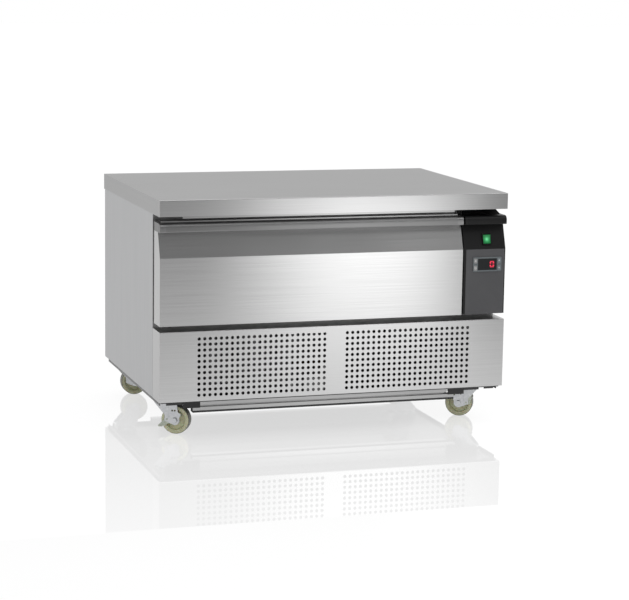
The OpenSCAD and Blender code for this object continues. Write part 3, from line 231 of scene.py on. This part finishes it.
def lit_rocker(name, colour, glow, centre, reach_mm, power):
    """Clear green polycarbonate over a lamp: brightest in its middle and deep green at its edges."""
    material, tree, shader = start_finish(name, IOR=1.58, Roughness=0.18)
    place = stretched_coordinates(tree, (1 / (reach_mm * MM),) * 3, centre)
    distance = add(tree, "ShaderNodeVectorMath", {0: place}, operation="LENGTH").outputs["Value"]
    ripple = add(tree, "ShaderNodeTexNoise", {"Vector": place, "Scale": 6.0, "Detail": 1.0})
    lamp = ranged(tree, distance, 1.0, 0.0, 0.0, 1.0)
    shaped = add(tree, "ShaderNodeMath", {0: lamp, 1: 2.2}, operation="POWER").outputs[0]
    light = two_tone(tree, shaped, linear("#18a052"), linear(glow))
    tree.links.new(light, shader.inputs["Emission Color"])
    tree.links.new(ranged(tree, shaped, power * 0.18, power), shader.inputs["Emission Strength"])
    shader.inputs["Base Color"].default_value = linear(colour)
    bumped(tree, shader, ripple.outputs[0], 0.05, 0.2)
    return material


def lit_segment(name, colour, power):
    """Light-emitting display segment: an even red glow, a little weaker in its depth."""
    material, tree, shader = start_finish(name, Roughness=0.3)
    fall = noise(tree, (300.0,) * 3)
    tree.links.new(ranged(tree, fall, power * 0.85, power * 1.1), shader.inputs["Emission Strength"])
    shader.inputs["Emission Color"].default_value = linear(colour)
    shader.inputs["Base Color"].default_value = linear(colour)
    return material


class UnitColours(bpy.types.PropertyGroup):
    """Colours of the finishes."""

    top: bpy.props.StringProperty(
        name="Worktop", description="Ground stainless of the worktop", default="#c4c4c4")
    side: bpy.props.StringProperty(
        name="Sides", description="Ground stainless of the sides", default="#cbcbcc")
    front: bpy.props.StringProperty(
        name="Drawer front", description="Ground stainless of the drawer", default="#c8c8c8")
    # The lip's colour is the front's stainless darkened: painted shade for the dark that the lip reflects.
    lip: bpy.props.StringProperty(
        name="Handle lip", description="Stainless of the handle lip", default="#8c8c8c")
    base: bpy.props.StringProperty(
        name="Base panel", description="Stainless of the base panel", default="#c6c6c6")
    black: bpy.props.StringProperty(
        name="Control cover", description="Black moulded cover", default="#141414")
    plate: bpy.props.StringProperty(
        name="Control plate", description="Grey face of the controls", default="#505052")
    wheel: bpy.props.StringProperty(
        name="Wheels", description="Cream nylon of the wheels", default="#d4d4b4")


class UnitStudio(bpy.types.PropertyGroup):
    """Studio light and camera."""

    world: bpy.props.FloatProperty(
        name="World", description="Strength of the even studio light", default=0.75)
    key: bpy.props.FloatProperty(
        name="Key light", description="Power of the upper right front softbox", default=14.0)
    top: bpy.props.FloatProperty(
        name="Top light", description="Power of the overhead softbox", default=12.0)
    lens: bpy.props.FloatProperty(
        name="Lens", description="Focal length", default=119.507, unit="CAMERA")


class UnitDetails(bpy.types.PropertyGroup):
    """Sizes of the small pieces."""

    digit_w: bpy.props.FloatProperty(
        name="Digit width", description="Width between segment centres", default=8.5 * MM,
        unit="LENGTH")
    digit_h: bpy.props.FloatProperty(
        name="Digit height", description="Height between segment centres", default=14.5 * MM,
        unit="LENGTH")
    bar: bpy.props.FloatProperty(
        name="Segment width", description="Width of a segment", default=4.4 * MM, unit="LENGTH")
    screw: bpy.props.FloatProperty(
        name="Screw head", description="Diameter of a screw head", default=8.0 * MM, unit="LENGTH")


def deselect():
    """Leaves edit mode and selects nothing."""
    if bpy.context.object and bpy.context.object.mode != "OBJECT":
        bpy.ops.object.mode_set(mode="OBJECT")
    bpy.ops.object.select_all(action="DESELECT")


def select_faces(piece, test):
    """Selects the faces for which test(centre, normal) holds."""
    bpy.ops.object.mode_set(mode="OBJECT")
    for part in (piece.data.vertices, piece.data.edges, piece.data.polygons):
        for item in part:
            item.select = False
    for face in piece.data.polygons:
        face.select = bool(test(face.center, face.normal))
    bpy.ops.object.mode_set(mode="EDIT")
    bpy.ops.mesh.select_mode(type="FACE")


def finish_piece(piece, name, body, material):
    """Names the piece, puts its place into its mesh, gives it its finish and lets it ride on a body."""
    if piece.mode != "OBJECT":
        bpy.ops.object.mode_set(mode="OBJECT")
    deselect()
    piece.select_set(True)
    bpy.context.view_layer.objects.active = piece
    bpy.ops.object.transform_apply(location=True, rotation=True, scale=True)
    piece.name = name
    piece.data.name = name
    piece.data.materials.clear()
    piece.data.materials.append(material)
    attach(piece, body)


def joined(parts):
    """The parts as one object."""
    deselect()
    for part in parts:
        part.select_set(True)
    bpy.context.view_layer.objects.active = parts[0]
    bpy.ops.object.join()
    return bpy.context.object


def give_finish(material, *node_names):
    """Gives CAD nodes a material in place of their own."""
    for node_name in node_names:
        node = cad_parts[node_name]
        node.data.materials.clear()
        node.data.materials.append(material)


class UNIT_OT_steel(bpy.types.Operator):
    """Gives the sheet metal nodes their ground stainless, galvanised and painted finishes"""

    bl_idname = "drawer_unit.steel"
    bl_label = "Sheet metal"

    def execute(self, context):
        colours = context.scene.unit_colours
        give_finish(brushed_stainless(
            "ground stainless worktop", colours.top, "#bebebe", ALONG_X, 0.3, 0.55), "worktop")
        give_finish(brushed_stainless(
            "ground stainless sides", colours.side, "#c4c5c6", ALONG_Z, 0.34, 0.6),
            "left_side_panel", "right_side_panel", "back_panel")
        give_finish(brushed_stainless("ground stainless drawer", colours.front, "#c2c2c2", ALONG_X, 0.24),
                    "drawer_front_skin")
        # Lip and caps are the front's stainless with darker colours: painted shade for the dark they
        # reflect.
        give_finish(brushed_stainless("ground stainless lip darkened as painted shade", colours.lip, "#848484", ALONG_X, 0.42),
                    "drawer_handle")
        give_finish(brushed_stainless("ground stainless caps darkened as painted shade", "#929292", "#8a8a8a", ALONG_Z, 0.4),
                    "drawer_handle_caps")
        give_finish(brushed_stainless("ground stainless base", colours.base, "#c0c0c0", ALONG_X, 0.3),
                    "base_panel")
        give_finish(brushed_stainless("ground stainless rails", "#b4b4b4", "#a8a8a8", ALONG_X, 0.35),
                    "front_cross_rail", "rear_cross_rail", "front_frame")
        give_finish(brushed_stainless("ground stainless liner", "#c8cacc", "#bec0c2", ALONG_Y, 0.35),
                    "compartment_liner", "evaporator_cover", "pan_frame", "pan_divider")
        give_finish(zinc_plated("weathered galvanised deck", "#3a3b3d", "#303133", "#3d3d3a", 0.6, 12.0),
                    "mid_deck")
        give_finish(zinc_plated("galvanised shroud", "#a8abad", "#8e9294", "#b0b2aa", 0.42, 12.0),
                    "condenser_fan_shroud")
        # The chassis pan's black is partly a real dark frame under the cabinet and partly painted shade:
        # its rim stands for the dark shade line along the lower edges.
        give_finish(enamelled("black chassis with painted shade line", "#1c1c1d", "#262627", 0.4), "chassis_pan")
        return {"FINISHED"}


class UNIT_OT_machine(bpy.types.Operator):
    """Gives the cooling machine, foam and inner pieces their finishes"""

    bl_idname = "drawer_unit.machine"
    bl_label = "Cooling machine"

    def execute(self, context):
        for place in ("evaporator", "condenser"):
            give_finish(zinc_plated("aluminium fins " + place, "#d2d4d5", "#b6b9bb", "#c9c2ae", 0.4, 9.0),
                        place + "_coil")
        give_finish(enamelled("black enamel compressor", "#151516", "#222224", 0.25), "compressor")
        give_finish(enamelled("black cast motor", "#2b2c2e", "#3a3b3d", 0.5, 1.6), "condenser_fan_motor")
        give_finish(soft_rubber("moulded rubber feet", "#161616", "#242424"),
                    "compressor_mounts", "cord_grommet")
        give_finish(soft_rubber("magnetic gasket PVC", "#2a2b2c", "#3a3b3c", 0.6), "drawer_gasket")
        give_finish(zinc_plated("tarnished copper drier", "#4a3830", "#3c2e28", "#54402f", 0.55, 10.0),
                    "filter_drier")
        give_finish(moulded_plastic("moulded polypropylene tray", "#1d1e1f", "#27282a", 0.5),
                    "evaporation_tray")
        give_finish(moulded_plastic("moulded terminal box", "#5a5b5d", "#505153", 0.5), "terminal_box")
        give_finish(moulded_plastic("moulded nylon fans", "#3c3d3f", "#303133", 0.5),
                    "condenser_fan_rotor", "evaporator_fan_rotor")
        give_finish(moulded_plastic("moulded fan frame", "#1b1c1d", "#252627", 0.5),
                    "evaporator_fan_frame")
        give_finish(moulded_plastic("vacuum formed inner panel", "#d6d8d9", "#cccecf", 0.35, 1.5),
                    "drawer_inner_panel")
        give_finish(rigid_foam("polyurethane foam", "#e3d6a8", "#c9b984"),
                    "insulation", "drawer_front_core")
        give_finish(moulded_plastic("foil faced board core", "#77797a", "#6c6e6f", 0.5, 1.5),
                    "worktop_core")
        give_finish(zinc_plated("zinc plated runners", "#c3c6c8", "#aeb2b5", "#c6c4b4", 0.28, 12.0),
                    "fixed_runners", "drawer_runners", "middle_runners")
        return {"FINISHED"}


class UNIT_OT_controls(bpy.types.Operator):
    """Gives the control column its moulded and lit finishes"""

    bl_idname = "drawer_unit.controls"
    bl_label = "Control column"

    def execute(self, context):
        colours = context.scene.unit_colours
        give_finish(moulded_plastic("moulded ABS cover", colours.black, "#0f0f10", 0.42, gloss=0.25),
                    "control_housing")
        give_finish(moulded_plastic("moulded rocker bezel", "#0c0c0c", "#121213", 0.4, gloss=0.25),
                    "rocker_bezel")
        give_finish(moulded_plastic(
            "printed polyester plate", colours.plate, "#4c4c4e", 0.5, 1.2, gloss=0.25), "control_plate")
        give_finish(moulded_plastic(
            "moulded controller front", "#666c6f", "#5f6568", 0.4, 0.7, gloss=0.3), "controller_body")
        give_finish(moulded_plastic("moulded light keys", "#929292", "#868686", 0.45, 0.6),
                    "key_set", "key_power")
        give_finish(moulded_plastic("moulded dark keys", "#737b7f", "#687075", 0.45, 0.6),
                    "key_up", "key_down")
        give_finish(moulded_plastic(
            "tinted acrylic window", "#1c1f20", "#171a1b", 0.2, 6.0, 0.005, gloss=0.3), "display_window")
        low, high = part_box("rocker_switch")
        lamp = (low + high) / 2 + Vector((0, -4 * MM, 0))
        give_finish(lit_rocker("lit polycarbonate rocker", "#0b5a2c", "#8dffb8", lamp, 14.0, 1.15),
                    "rocker_switch")
        return {"FINISHED"}


class UNIT_OT_casters(bpy.types.Operator):
    """Gives the casters their zinc and nylon finishes"""

    bl_idname = "drawer_unit.casters"
    bl_label = "Casters"

    def execute(self, context):
        fork = zinc_plated("zinc plated forks", "#c4c5c6", "#b6b8ba", "#c2c2c8", 0.34, 6.0)
        cream = context.scene.unit_colours.wheel
        turned_axle = (0.5, math.sqrt(0.75), 0.0)
        straight_axle = (0.0, 1.0, 0.0)
        for corner in ("front_left", "front_right", "rear_left", "rear_right"):
            low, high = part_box("wheel_" + corner)
            axle = turned_axle if corner.startswith("front") else straight_axle
            # The third colour, #66655a, is the painted shade at each wheel's rim.
            wheel = cast_nylon_wheel("cast nylon wheel " + corner.replace("_", " "), cream, "#c4c49e",
                                     "#66655a", (low + high) / 2, (high.z - low.z) / 2, axle)
            give_finish(fork, "fork_" + corner)
            give_finish(wheel, "wheel_" + corner)
        give_finish(zinc_plated("yellow passivated pedals", "#b3b8ae", "#979c92", "#b9bba2", 0.34, 5.0),
                    "brake_pedal_left", "brake_pedal_right")
        give_finish(zinc_plated("zinc plated caster plates", "#c3c6c8", "#aeb2b5", "#c6c4b4", 0.3, 8.0),
                    "caster_plates", "caster_bolts")
        return {"FINISHED"}


class UNIT_OT_digit(bpy.types.Operator):
    """Models the lit digit behind the display window's face"""

    bl_idname = "drawer_unit.digit"
    bl_label = "Display digit"

    def execute(self, context):
        sizes = context.scene.unit_details
        low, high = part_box("display_window")
        from_edge = 14 * MM
        proud = 0.04 * MM
        thickness = 0.3 * MM
        taper = 0.45
        centre = Vector((high.x - from_edge, low.y - proud, (low.z + high.z) / 2))
        half_w = sizes.digit_w / 2
        half_h = sizes.digit_h / 2
        places = [(0, -half_h, 0), (0, half_h, 0)]
        places += [(side * half_w, up * half_h / 2, 90) for side in (-1, 1) for up in (-1, 1)]
        bars = []
        for x, z, turn in places:
            length = (half_h if turn else sizes.digit_w) + sizes.bar / 2
            deselect()
            bpy.ops.mesh.primitive_cube_add(size=1, location=centre + Vector((x, 0, z)))
            bar = context.object
            bar.dimensions = (length, thickness, sizes.bar)
            bar.rotation_euler = (0, math.radians(turn), 0)
            bpy.ops.object.transform_apply(location=False, rotation=False, scale=True)
            select_faces(bar, lambda c, n: abs(n.x) > 0.9)
            bpy.ops.transform.resize(value=(1, 1, taper))
            bpy.ops.mesh.select_all(action="SELECT")
            bpy.ops.mesh.bevel(offset=0.1 * MM, segments=1)
            bpy.ops.object.mode_set(mode="OBJECT")
            bars.append(bar)
        finish_piece(joined(bars), "display_digit", "cabinet",
                     lit_segment("red lit segments", "#c4203c", 0.95))
        return {"FINISHED"}


class UNIT_OT_trim(bpy.types.Operator):
    """Models the worktop's return, two black blocks of painted shade at the rail's ends, a dark strip of
    painted shade along the rail's foot, and the drawer's ridge
    """

    bl_idname = "drawer_unit.trim"
    bl_label = "Folded edges"

    def folded_edge(self, name, low, high, body, material, slot):
        """A long folded sheet edge with a rounded nose."""
        low, high = Vector(low), Vector(high)
        deselect()
        bpy.ops.mesh.primitive_cube_add(size=1, location=(low + high) / 2)
        edge = bpy.context.object
        edge.dimensions = high - low
        bpy.ops.object.transform_apply(location=False, rotation=False, scale=True)
        bpy.ops.object.mode_set(mode="EDIT")
        bpy.ops.mesh.select_all(action="SELECT")
        bpy.ops.mesh.bevel(offset=min(high - low) * 0.3, segments=2)
        finish_piece(edge, name, body, material)

    def execute(self, context):
        steel = brushed_stainless("ground stainless return", "#b6b6b6", "#a8a8a8", ALONG_X, 0.3)
        # Black enamel used as painted shade for the blocks at the rail's ends.
        black = enamelled("black sheet of painted shade", "#0c0c0d", "#141415", 0.55)
        # A dark rubber finish used as painted shade for the strip at the rail's foot.
        shade_strip_finish = soft_rubber("dark strip of painted shade", "#2c2c2d", "#363637", 0.7)
        slab_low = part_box("worktop")[0]
        skin_low, skin_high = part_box("drawer_front_skin")
        handle_low, handle_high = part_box("drawer_handle")
        rail_low, rail_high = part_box("front_cross_rail")
        front, lip_top = handle_low.y, handle_high.z

        return_h = 5.5 * MM
        self.folded_edge("worktop_return",
                         (skin_low.x + 60 * MM, front + 3 * MM, slab_low.z - return_h),
                         (skin_high.x - 25 * MM, front + 5 * MM, slab_low.z),
                         "cabinet", steel, "worktop_steel")

        # Thin black blocks beside the rail's ends are painted shade: they fill the dark hollows under the
        # base panel beside the front casters.
        block_start = rail_high.x - 19 * MM
        block_w = 47 * MM
        block_foot, block_top = 70.5 * MM, 98 * MM
        for side, name in ((-1, "shade_block_left"), (1, "shade_block_right")):
            ends = sorted((side * block_start, side * (block_start + block_w)))
            self.folded_edge(name,
                             (ends[0], rail_low.y - 4.6 * MM, block_foot),
                             (ends[1], rail_low.y - 3.3 * MM, block_top),
                             "cabinet", black, "chassis_steel")
        # A dark strip along the rail's foot is painted shade: the dark line under the rail's lower edge.
        strip_t, strip_h = 0.6 * MM, 5 * MM
        self.folded_edge("rail_shade_strip",
                         (rail_low.x, rail_low.y - strip_t, rail_low.z),
                         (rail_high.x, rail_low.y, rail_low.z + strip_h),
                         "cabinet", shade_strip_finish, "black_rubber")
        ridge_h = 4.5 * MM
        self.folded_edge("drawer_ridge",
                         (skin_low.x + 8 * MM, front + 24 * MM, lip_top),
                         (skin_high.x - 8 * MM, front + 26 * MM, lip_top + ridge_h),
                         "drawer", steel, "handle_steel")
        return {"FINISHED"}


class UNIT_OT_key_marks(bpy.types.Operator):
    """Models the plain raised marks on the four keys"""

    bl_idname = "drawer_unit.key_marks"
    bl_label = "Key marks"

    def execute(self, context):
        ink = moulded_plastic("raised key marks", "#e2e4e4", "#d4d6d6", 0.5, 0.5)
        radius, line_w, height = 2.5 * MM, 0.7 * MM, 0.12 * MM
        for key, corners, turn in (("up", 3, 0), ("down", 3, 180), ("set", 4, 45), ("power", 20, 0)):
            low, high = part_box("key_" + key)
            place = Vector(((low.x + high.x) / 2, low.y, (low.z + high.z) / 2))
            deselect()
            bpy.ops.mesh.primitive_circle_add(vertices=corners, radius=radius, fill_type="NGON")
            mark = context.object
            bpy.ops.object.mode_set(mode="EDIT")
            bpy.ops.mesh.select_all(action="SELECT")
            bpy.ops.mesh.inset(thickness=line_w)
            bpy.ops.mesh.delete(type="FACE")
            bpy.ops.mesh.select_all(action="SELECT")
            bpy.ops.mesh.extrude_region_move(TRANSFORM_OT_translate={"value": (0, 0, height)})
            bpy.ops.mesh.select_all(action="SELECT")
            bpy.ops.mesh.normals_make_consistent(inside=False)
            bpy.ops.object.mode_set(mode="OBJECT")
            mark.rotation_euler = (math.radians(90), math.radians(turn), 0)
            mark.location = place
            finish_piece(mark, "mark_" + key, key + "_key", ink)
        return {"FINISHED"}


class UNIT_OT_back_screws(bpy.types.Operator):
    """Models the pan head screws that hold the back panel"""

    bl_idname = "drawer_unit.back_screws"
    bl_label = "Back panel screws"

    def execute(self, context):
        low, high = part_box("back_panel")
        radius = context.scene.unit_details.screw / 2
        head = 2.2 * MM
        recess = 0.9 * MM
        from_side, from_end, spread = 10 * MM, 14 * MM, 200 * MM
        rows = (low.z + from_end, (low.z + high.z) / 2, high.z - from_end)
        places = [(x, z) for x in (low.x + from_side, high.x - from_side) for z in rows]
        places += [(x, z) for z in (rows[2], rows[0]) for x in (-spread, spread)]
        heads = []
        for x, z in places:
            deselect()
            bpy.ops.mesh.primitive_cylinder_add(
                vertices=24, radius=radius, depth=head,
                location=(x, high.y + head / 2, z), rotation=(math.radians(-90), 0, 0))
            screw = context.object
            bpy.ops.object.transform_apply(location=False, rotation=False, scale=True)
            select_faces(screw, lambda c, n: n.z > 0.9)
            bpy.ops.mesh.bevel(offset=recess, segments=3)
            select_faces(screw, lambda c, n: n.z > 0.99)
            bpy.ops.mesh.inset(thickness=radius * 0.35)
            bpy.ops.mesh.extrude_region_move(TRANSFORM_OT_translate={"value": (0, 0, -recess)})
            bpy.ops.object.mode_set(mode="OBJECT")
            heads.append(screw)
        zinc = zinc_plated("zinc plated screws", "#c9cbcc", "#b0b3b5", "#c8c4b0", 0.3, 4.0)
        finish_piece(joined(heads), "back_screws", "cabinet", zinc)
        return {"FINISHED"}


class UNIT_OT_stage(bpy.types.Operator):
    """Builds the pale floor, the soft lights, the panel that the front mirrors, and the camera"""

    bl_idname = "drawer_unit.stage"
    bl_label = "Stage"

    def seen(self, tree):
        """One for rays that show the background itself (camera, glossy, transmission), and one for
        camera rays alone."""
        rays = add(tree, "ShaderNodeLightPath").outputs
        bounced = add(tree, "ShaderNodeMath", {
            0: rays["Is Glossy Ray"], 1: rays["Is Transmission Ray"]}, operation="MAXIMUM")
        every = add(tree, "ShaderNodeMath", {
            0: rays["Is Camera Ray"], 1: bounced.outputs[0]}, operation="MAXIMUM")
        return every.outputs[0], rays["Is Camera Ray"]

    def bare_material(self, name):
        """A material with no nodes yet, and its tree."""
        material = bpy.data.materials.new(name)
        material.use_nodes = True
        material.node_tree.nodes.clear()
        return material, material.node_tree

    def place_on(self, tree):
        """X, Y and Z of the shaded point."""
        coordinates = add(tree, "ShaderNodeTexCoord").outputs["Object"]
        return add(tree, "ShaderNodeSeparateXYZ", {"Vector": coordinates}).outputs

    def floor_finish(self):
        """Pale glossy studio floor: white, with the object's shadow and a faint mirror image that grows
        fainter towards the front."""
        material, tree = self.bare_material("pale studio floor")
        seen, camera = self.seen(tree)
        matt = add(tree, "ShaderNodeBsdfDiffuse", {"Color": linear("#f4f4f4")})
        shaded = add(tree, "ShaderNodeBsdfDiffuse", {"Color": (0.2, 0.2, 0.2, 1.0)})
        white = add(tree, "ShaderNodeEmission", {"Color": (1.0, 1.0, 1.0, 1.0), "Strength": 0.87})
        plain = add(tree, "ShaderNodeAddShader", {0: shaded.outputs[0], 1: white.outputs[0]})
        mirror = add(tree, "ShaderNodeBsdfGlossy", {"Color": (1.0, 1.0, 1.0, 1.0), "Roughness": 0.02})
        polish = ranged(tree, self.place_on(tree)[ALONG_Y], 0.03, 0.27, -2.2, -0.5)
        share = add(tree, "ShaderNodeMath", {0: camera, 1: polish}, operation="MULTIPLY")
        glossy = add(tree, "ShaderNodeMixShader", {
            0: share.outputs[0], 1: plain.outputs[0], 2: mirror.outputs[0]})
        final = add(tree, "ShaderNodeMixShader", {0: seen, 1: matt.outputs[0], 2: glossy.outputs[0]})
        add(tree, "ShaderNodeOutputMaterial", {"Surface": final.outputs[0]})
        return material

    def panel_finish(self):
        """Translucent panel lit from behind: dim at its left end, bright in the middle, dark above."""
        material, tree = self.bare_material("lit studio panel")
        place = self.place_on(tree)

        def soft_step(axis, start, end, low, high):
            return add(tree, "ShaderNodeMapRange", {
                "Value": place[axis], "From Min": start, "From Max": end, "To Min": low, "To Max": high},
                interpolation_type="SMOOTHSTEP").outputs[0]

        mean, dark = 0.9, 0.22
        rise = soft_step(ALONG_X, -0.2, 0.3, -0.3, 0.75)
        fall = soft_step(ALONG_X, 0.45, 0.8, 0.0, 1.15)
        swing = add(tree, "ShaderNodeMath", {0: rise, 1: fall}, operation="SUBTRACT").outputs[0]
        contrast = soft_step(ALONG_Z, 0.0, 0.5, 0.6, 1.5)
        level = add(tree, "ShaderNodeMath", {
            0: swing, 1: contrast, 2: mean}, operation="MULTIPLY_ADD").outputs[0]
        above = soft_step(ALONG_Z, 0.6, 0.75, 0.0, 1.0)
        strength = add(tree, "ShaderNodeMix", {0: above, 2: level, 3: dark}, data_type="FLOAT").outputs[0]
        light = add(tree, "ShaderNodeEmission", {"Color": (1.0, 1.0, 1.0, 1.0), "Strength": strength})
        add(tree, "ShaderNodeOutputMaterial", {"Surface": light.outputs[0]})
        return material

    def softbox(self, name, power, size, place, target):
        """A rectangular area lamp at a place, turned to a target and unseen by the camera."""
        deselect()
        bpy.ops.object.light_add(type="AREA", location=place)
        lamp = bpy.context.object
        lamp.name = name
        lamp.data.shape = "RECTANGLE"
        lamp.data.size, lamp.data.size_y = size
        lamp.data.energy = power
        lamp.visible_camera = False
        lamp.rotation_euler = (Vector(target) - Vector(place)).to_track_quat("-Z", "Y").to_euler()

    def flat(self, name, corners, material):
        """A plane between two corners, on the floor or upright across Y."""
        low, high = Vector(corners[0]), Vector(corners[1])
        upright = low.y == high.y
        deselect()
        bpy.ops.mesh.primitive_plane_add(size=1, location=(low + high) / 2,
                                         rotation=(math.radians(-90 if upright else 0), 0, 0))
        plane = bpy.context.object
        plane.scale = (high.x - low.x, high.z - low.z if upright else high.y - low.y, 1)
        bpy.ops.object.transform_apply(location=True, rotation=True, scale=True)
        plane.name = name
        plane.data.materials.append(material)
        return plane

    def execute(self, context):
        scene = context.scene
        studio = scene.unit_studio
        scene.view_settings.view_transform = "Standard"
        half_floor = 30
        self.flat("studio_floor", ((-half_floor, -half_floor, 0), (half_floor, half_floor, 0)),
                  self.floor_finish())
        panel = self.flat("studio_panel", ((-1.9, -1.1, 0.005), (2.8, -1.1, 2.2)), self.panel_finish())
        # Only what mirrors sees the panel: it adds no light and casts no shadow.
        panel.visible_camera = False
        panel.visible_diffuse = False
        panel.visible_transmission = False
        panel.visible_shadow = False
        world = scene.world or bpy.data.worlds.new("studio")
        scene.world = world
        world.use_nodes = True
        tree = world.node_tree
        tree.nodes.clear()
        strength = ranged(tree, self.seen(tree)[0], studio.world, 1.0)
        light = add(tree, "ShaderNodeBackground", {"Color": (1.0, 1.0, 1.0, 1.0), "Strength": strength})
        add(tree, "ShaderNodeOutputWorld", {"Surface": light.outputs[0]})
        self.softbox("key_softbox", studio.key, (1.0, 1.0), (1.5, -1.9, 2.7), (0, 0, 0.35))
        self.softbox("top_softbox", studio.top, (2.4, 2.4), (0.2, -0.6, 3.2), (0, 0, 0.4))
        deselect()
        camera_place = (-1.7070, -5.4166, 1.2413)
        camera_turn = [math.radians(angle) for angle in (80.606, -0.8595, -17.7901)]
        bpy.ops.object.camera_add(location=camera_place, rotation=camera_turn)
        camera = context.object
        camera.name = "camera"
        camera.data.sensor_width = 36
        camera.data.sensor_fit = "HORIZONTAL"
        camera.data.lens = studio.lens
        scene.camera = camera
        return {"FINISHED"}


OPERATORS = (
    UNIT_OT_steel, UNIT_OT_machine, UNIT_OT_controls, UNIT_OT_casters, UNIT_OT_trim,
    UNIT_OT_digit, UNIT_OT_key_marks, UNIT_OT_back_screws, UNIT_OT_stage,
)


class UNIT_PT_panel(bpy.types.Panel):
    """Lists the pieces and settings of the drawer unit"""

    bl_idname = "UNIT_PT_panel"
    bl_label = "Refrigerated drawer unit"
    bl_space_type = "VIEW_3D"
    bl_region_type = "UI"
    bl_category = "Drawer Unit"

    def draw(self, context):
        layout = self.layout
        for group in (context.scene.unit_colours, context.scene.unit_studio, context.scene.unit_details):
            for name in group.__annotations__:
                layout.prop(group, name)
        for operator in OPERATORS:
            layout.operator(operator.bl_idname)


CLASSES = (UnitColours, UnitStudio, UnitDetails, *OPERATORS, UNIT_PT_panel)


def register():
    """Registers the classes and hangs the settings on the scene."""
    for cls in CLASSES:
        bpy.utils.register_class(cls)
    bpy.types.Scene.unit_colours = bpy.props.PointerProperty(type=UnitColours)
    bpy.types.Scene.unit_studio = bpy.props.PointerProperty(type=UnitStudio)
    bpy.types.Scene.unit_details = bpy.props.PointerProperty(type=UnitDetails)


def unregister():
    """Takes back what register did."""
    del bpy.types.Scene.unit_details
    del bpy.types.Scene.unit_studio
    del bpy.types.Scene.unit_colours
    for cls in reversed(CLASSES):
        bpy.utils.unregister_class(cls)


def main():
    """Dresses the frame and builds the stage."""
    register()
    bpy.ops.drawer_unit.steel()
    bpy.ops.drawer_unit.machine()
    bpy.ops.drawer_unit.controls()
    bpy.ops.drawer_unit.casters()
    bpy.ops.drawer_unit.trim()
    bpy.ops.drawer_unit.digit()
    bpy.ops.drawer_unit.key_marks()
    bpy.ops.drawer_unit.back_screws()
    bpy.ops.drawer_unit.stage()


if __name__ == "__main__":
    main()
